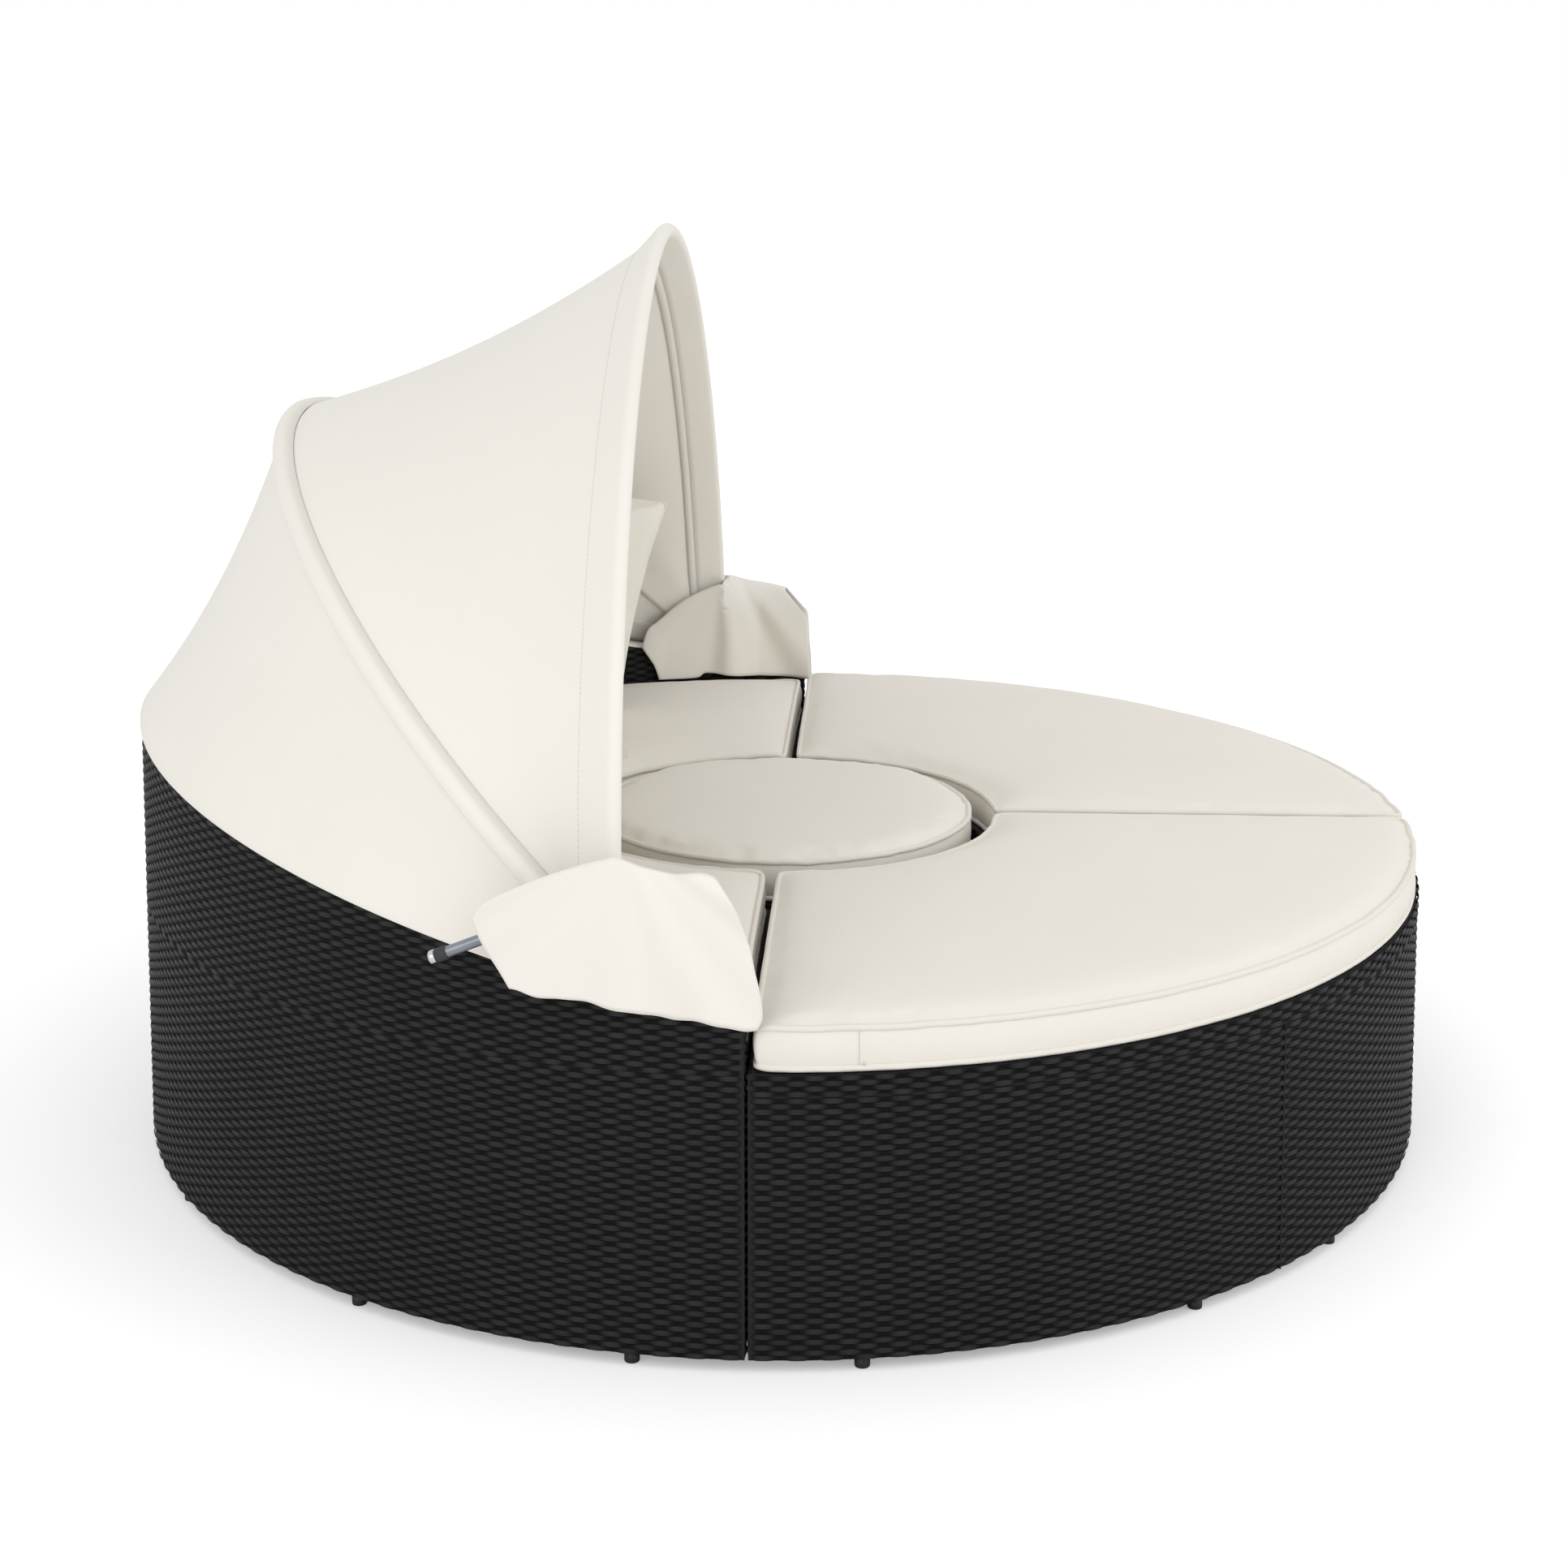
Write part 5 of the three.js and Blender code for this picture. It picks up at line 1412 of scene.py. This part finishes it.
class DAYBED_OT_flaps(DaybedOperator, bpy.types.Operator):
    """Cloth flaps over the arms"""

    bl_idname = "daybed.flaps"
    bl_label = "Flaps"

    def execute(self, context):
        for side, mirror in SIDES:
            self.flap(side, mirror, self.sizes(context).flap_fold)
        return {"FINISHED"}

    def flap(self, side, mirror, depth):
        rows, columns = FLAP_ROWS, FLAP_COLUMNS
        outer, inner = (patch(LEAVES[side, leaf], columns, rows) for leaf in ("outer", "inner"))
        u = np.linspace(0, 1, rows)[:, None]
        v = np.linspace(0, 1, columns)[None, :]
        wave = np.sin(25.0 * u + 1.0) + 0.6 * np.sin(44.0 * u)
        outer[..., 1] += 1.2 * MM * wave * (1 - v) ** 6
        out_x = self.outer_x(outer, v, depth, 2.0 if mirror > 0 else 3.0)
        in_x = self.inner_x(inner, v, depth * 1.5, 7.0)
        outside = np.concatenate([out_x[..., None], outer], 2)
        inside = np.concatenate([in_x[..., None], inner], 2)
        bridge = []
        for t in np.linspace(0, 1, 9)[1:-1]:
            line = outside[:, -1] * (1 - t) + inside[:, -1] * t
            cover = self.tube_z(line[:, 1]) + ARM_TUBE_R + 4 * MM - line[:, 2]
            line[:, 2] += np.maximum(cover, 2 * MM) * math.sin(math.pi * t)
            bridge.append(line)
        grid = np.concatenate([outside, np.stack(bridge, 1), inside[:, ::-1]], 1)
        grid[..., 0] *= mirror
        total = grid.shape[1]

        # The leaves part behind the peak, so the bridge over the tube is left out there
        kept = np.ones((rows - 1, total - 1), bool)
        behind = outside[:-1, -1, 1] > FLAP_PEAK_Y
        kept[np.ix_(behind, range(columns - 1, columns + len(bridge)))] = False
        faces = [f for f, keep in zip(grid_faces(rows, total), kept.ravel()) if keep]
        verts = grid.reshape(-1, 3)
        away = np.zeros_like(verts)
        away[:, 0] = mirror
        picked = [f for f in faces if f[0] % total < columns - 2]
        if facing(verts, picked, away) != picked:
            faces = [tuple(reversed(f)) for f in faces]
        name = f"flap_cloth_{side}"
        piece = add_piece(name, verts, faces, "canopy", "sofa", "canopy_fabric", CLOTH)
        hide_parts(f"hinge_flap_{side}")
        area = float(cell_areas(grid)[kept].sum())
        length = max(line_length(row) for row in grid)
        width = max(line_length(grid[:, j]) for j in range(total))
        width = max(width, area / length * 1.001)

    def outer_x(self, leaf, v, depth, seed):
        """Outer leaf: outside the wall, and turned in over the tube at its top."""
        y, z = leaf[..., 0], leaf[..., 1]
        wall = np.sqrt(np.maximum(WICKER_R**2 - y**2, 0)) + 4.6 * MM
        tube = self.tube_x(y)
        beside = np.maximum(wall, tube + TUBE_CLEAR)
        over = tube + 0.8 * TUBE_CLEAR
        return beside + (over - beside) * v**7 + self.folds(y, z, depth, seed)

    def inner_x(self, leaf, v, depth, seed):
        """Inner leaf: inside the wall and clear of the hoop, and up to the tube at its top."""
        y, z = leaf[..., 0], leaf[..., 1]
        wall = np.sqrt(np.maximum(WALL_R**2 - y**2, 0)) - 6 * MM
        share = np.hypot(y - PIVOT_Y, z - PIVOT_Z) / MID_REACH
        hoop = MID_HALF * (1 - share**HOOP_POWER) ** (1 / HOOP_POWER)
        swing = hoop - HOOP_TUBE_R - 8.5 * MM
        held = np.clip((y - 0.08) / 0.06, 0, 1)
        beside = wall + (np.minimum(wall, swing) - wall) * held
        over = np.where(y < FLAP_PEAK_Y, self.tube_x(y) - 0.8 * TUBE_CLEAR, swing)
        return beside + (over - beside) * v**7 - self.folds(y, z, depth, seed)

    def folds(self, y, z, depth, seed):
        """Soft folds that fan out from the flap's peak and deepen towards its hem."""
        fan = np.arctan2(y - FLAP_PEAK_Y, FOLD_ORIGIN_Z - z)
        reach = np.clip(np.hypot(y - FLAP_PEAK_Y, FLAP_PEAK_Z - z) / FOLD_REACH, 0, 1)
        bent = fan + 0.10 * np.sin(3.1 * fan + seed)
        wide = 0.5 + 0.5 * np.cos(8.5 * bent + seed)
        fine = 0.5 + 0.5 * np.cos(17.0 * bent + 1.7 * seed)
        return depth * reach**0.8 * (wide**1.6 * 0.8 + fine * 0.3)

    def tube_z(self, y):
        places = [0.030, ARM_BEND_Y, ARM_TOP_Y, PIVOT_Y, ARM_END_Y]
        return np.interp(y, places, [0.545, ARM_BEND_Z, ARM_TOP_Z, ARM_TOP_Z, ARM_END_Z])

    def tube_x(self, y):
        rise = np.clip((y - ARM_BEND_Y) / (PIVOT_Y - ARM_BEND_Y) * 1.2, 0, 1)
        before = ARM_FOOT_X + (ARM_X - ARM_FOOT_X) * rise
        after = ARM_X - ARM_END_IN * (y - PIVOT_Y) / (ARM_END_Y - PIVOT_Y)
        return np.where(y < PIVOT_Y, before, after)


class DAYBED_OT_fittings(DaybedOperator, bpy.types.Operator):
    """Arm tubes with their collars and plugs, hinge bolts, fixing knobs and feet"""

    bl_idname = "daybed.fittings"
    bl_label = "Fittings"

    def execute(self, context):
        for side, mirror in SIDES:
            self.arm(side, mirror)
            self.bolt(side, mirror)
            self.knob(side)
        self.feet()
        return {"FINISHED"}

    def fit(self, kind, side, made, finish, slot):
        """A smooth piece in place of a faceted fitting of the same kind."""
        piece = add_piece(f"{kind}_smooth_{side}", *made, finish, "sofa", slot)
        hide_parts(f"{kind}_{side}")

    def arm(self, side, mirror):
        foot_z = rim_height(ARM_FOOT_Y) + 2.5 * MM
        end = np.array((ARM_X - ARM_END_IN, ARM_END_Y, ARM_END_Z))
        crest = np.array((ARM_X, PIVOT_Y, ARM_TOP_Z))
        bend = ARM_FOOT_X + (ARM_X - ARM_FOOT_X) * 0.6
        knots = [
            (ARM_FOOT_X, ARM_FOOT_Y, foot_z),
            (ARM_FOOT_X, (ARM_FOOT_Y + ARM_BEND_Y) / 2, foot_z + (ARM_BEND_Z - foot_z) * 0.6),
            (ARM_FOOT_X, ARM_BEND_Y, ARM_BEND_Z),
            (bend, ARM_TOP_Y, ARM_TOP_Z),
            crest,
            (crest + end) / 2,
            end,
        ]
        path = resample(knots, 90) * np.array((mirror, 1, 1))
        self.fit("arm_tube", side, sweep(path, ARM_TUBE_R, 20), "tube", "arm_tube")
        way = unit(path[-1] - path[-2])
        r, h, soft = 8 * MM, 14 * MM, 1.2 * MM
        collar = [(0, 0), (r * 0.82, 0), (r * 0.97, soft / 3), (r, soft)]
        collar += [(r, h - soft), (r * 0.97, h - soft / 3), (r * 0.85, h), (0, h)]
        made = lathe(collar, path[-1] - way * 9 * MM, way, 28)
        self.fit("arm_collar", side, made, "collar", "collar")
        h = 8 * MM
        plug = [(0, 0), (r * 0.94, 0), (r, 0.6 * MM), (r, h * 0.7)]
        plug += [(r * 0.93, 7 * MM), (r * 0.75, 7.7 * MM), (r * 0.3, h), (0, h)]
        made = lathe(plug, path[-1] + way * 5.3 * MM, way, 28)
        self.fit("arm_plug", side, made, "plug", "plug")

    def bolt(self, side, mirror):
        low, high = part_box(f"hinge_bolt_{side}")
        start = low.x if mirror > 0 else high.x
        length = high.x - low.x
        shank, cap, head = 4 * MM, 7 * MM, 5 * MM
        profile = [(0, 0), (6 * MM, 0), (cap, 0.8 * MM), (cap, head)]
        profile += [(shank, head), (shank, length), (0, length)]
        made = lathe(profile, (start, PIVOT_Y, PIVOT_Z), (mirror, 0, 0), 24)
        self.fit("hinge_bolt", side, made, "bracket", "bracket")

    def knob(self, side):
        """A knob with a neck and twelve shallow grips round its rim."""
        low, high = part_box(f"fixing_knob_{side}")
        centre = (low + high) / 2
        way = Vector((-centre.x, -centre.y, 0)).normalized()
        neck, r, h, sides = 4 * MM, 7 * MM, 10 * MM, 48
        profile = [(0, 0), (neck, 0), (neck, 2 * MM), (r * 0.95, 2.2 * MM), (r, 3.2 * MM)]
        profile += [(r, 8.4 * MM), (r * 0.9, 9.6 * MM), (r * 0.5, h), (0, h)]
        verts, faces = lathe(profile, centre - way * h / 2, way, sides)
        for n in range(sides * 3, sides * 5, 4):
            inward = centre - Vector(verts[n])
            inward -= way * inward.dot(way)
            verts[n] = tuple(Vector(verts[n]) + inward.normalized() * 0.6 * MM)
        self.fit("fixing_knob", side, (verts, faces), "knob", "knob")

    def feet(self):
        r, h = 9 * MM, FOOT_TOP
        profile = [(0, 0), (r * 0.8, 0), (r * 0.95, 0.5 * MM), (r, 1.5 * MM)]
        profile += [(r, h - 4 * MM), (r * 0.92, h - 3.4 * MM), (r * 0.92, h), (0, h)]
        for body in ("sofa", "ottoman_right", "ottoman_left", "table"):
            names = [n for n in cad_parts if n.startswith(f"{body}_foot_")]
            parts = []
            for name in names:
                low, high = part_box(name)
                middle = (low + high) / 2
                parts.append(lathe(profile, (middle.x, middle.y, 0.0), (0, 0, 1), 28))
            piece = add_piece(f"{body}_glides", *merged(parts), "glide", body, "foot")
            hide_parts(*names)


class DAYBED_PT_panel(bpy.types.Panel):
    bl_label = "Daybed"
    bl_idname = "DAYBED_PT_panel"
    bl_space_type = "VIEW_3D"
    bl_region_type = "UI"
    bl_category = "Daybed"

    def draw(self, context):
        for group in (context.scene.daybed_sizes, context.scene.daybed_colours):
            for name in group.bl_rna.properties.keys():
                if name not in ("rna_type", "name"):
                    self.layout.prop(group, name)
        for operator in OPERATORS:
            self.layout.operator(operator.bl_idname)


OPERATORS = (
    DAYBED_OT_stage,
    DAYBED_OT_finishes,
    DAYBED_OT_weave,
    DAYBED_OT_cushions,
    DAYBED_OT_pillow,
    DAYBED_OT_canopy,
    DAYBED_OT_flaps,
    DAYBED_OT_fittings,
)
CLASSES = (DaybedSizes, DaybedColours, *OPERATORS, DAYBED_PT_panel)


def register():
    for item in CLASSES:
        bpy.utils.register_class(item)
    bpy.types.Scene.daybed_sizes = PointerProperty(type=DaybedSizes)
    bpy.types.Scene.daybed_colours = PointerProperty(type=DaybedColours)


def unregister():
    del bpy.types.Scene.daybed_colours
    del bpy.types.Scene.daybed_sizes
    for item in reversed(CLASSES):
        bpy.utils.unregister_class(item)


def main():
    register()
    bpy.ops.daybed.stage()
    bpy.ops.daybed.finishes()
    bpy.ops.daybed.weave()
    bpy.ops.daybed.cushions()
    bpy.ops.daybed.pillow()
    bpy.ops.daybed.canopy()
    bpy.ops.daybed.flaps()
    bpy.ops.daybed.fittings()


if __name__ == "__main__":
    main()
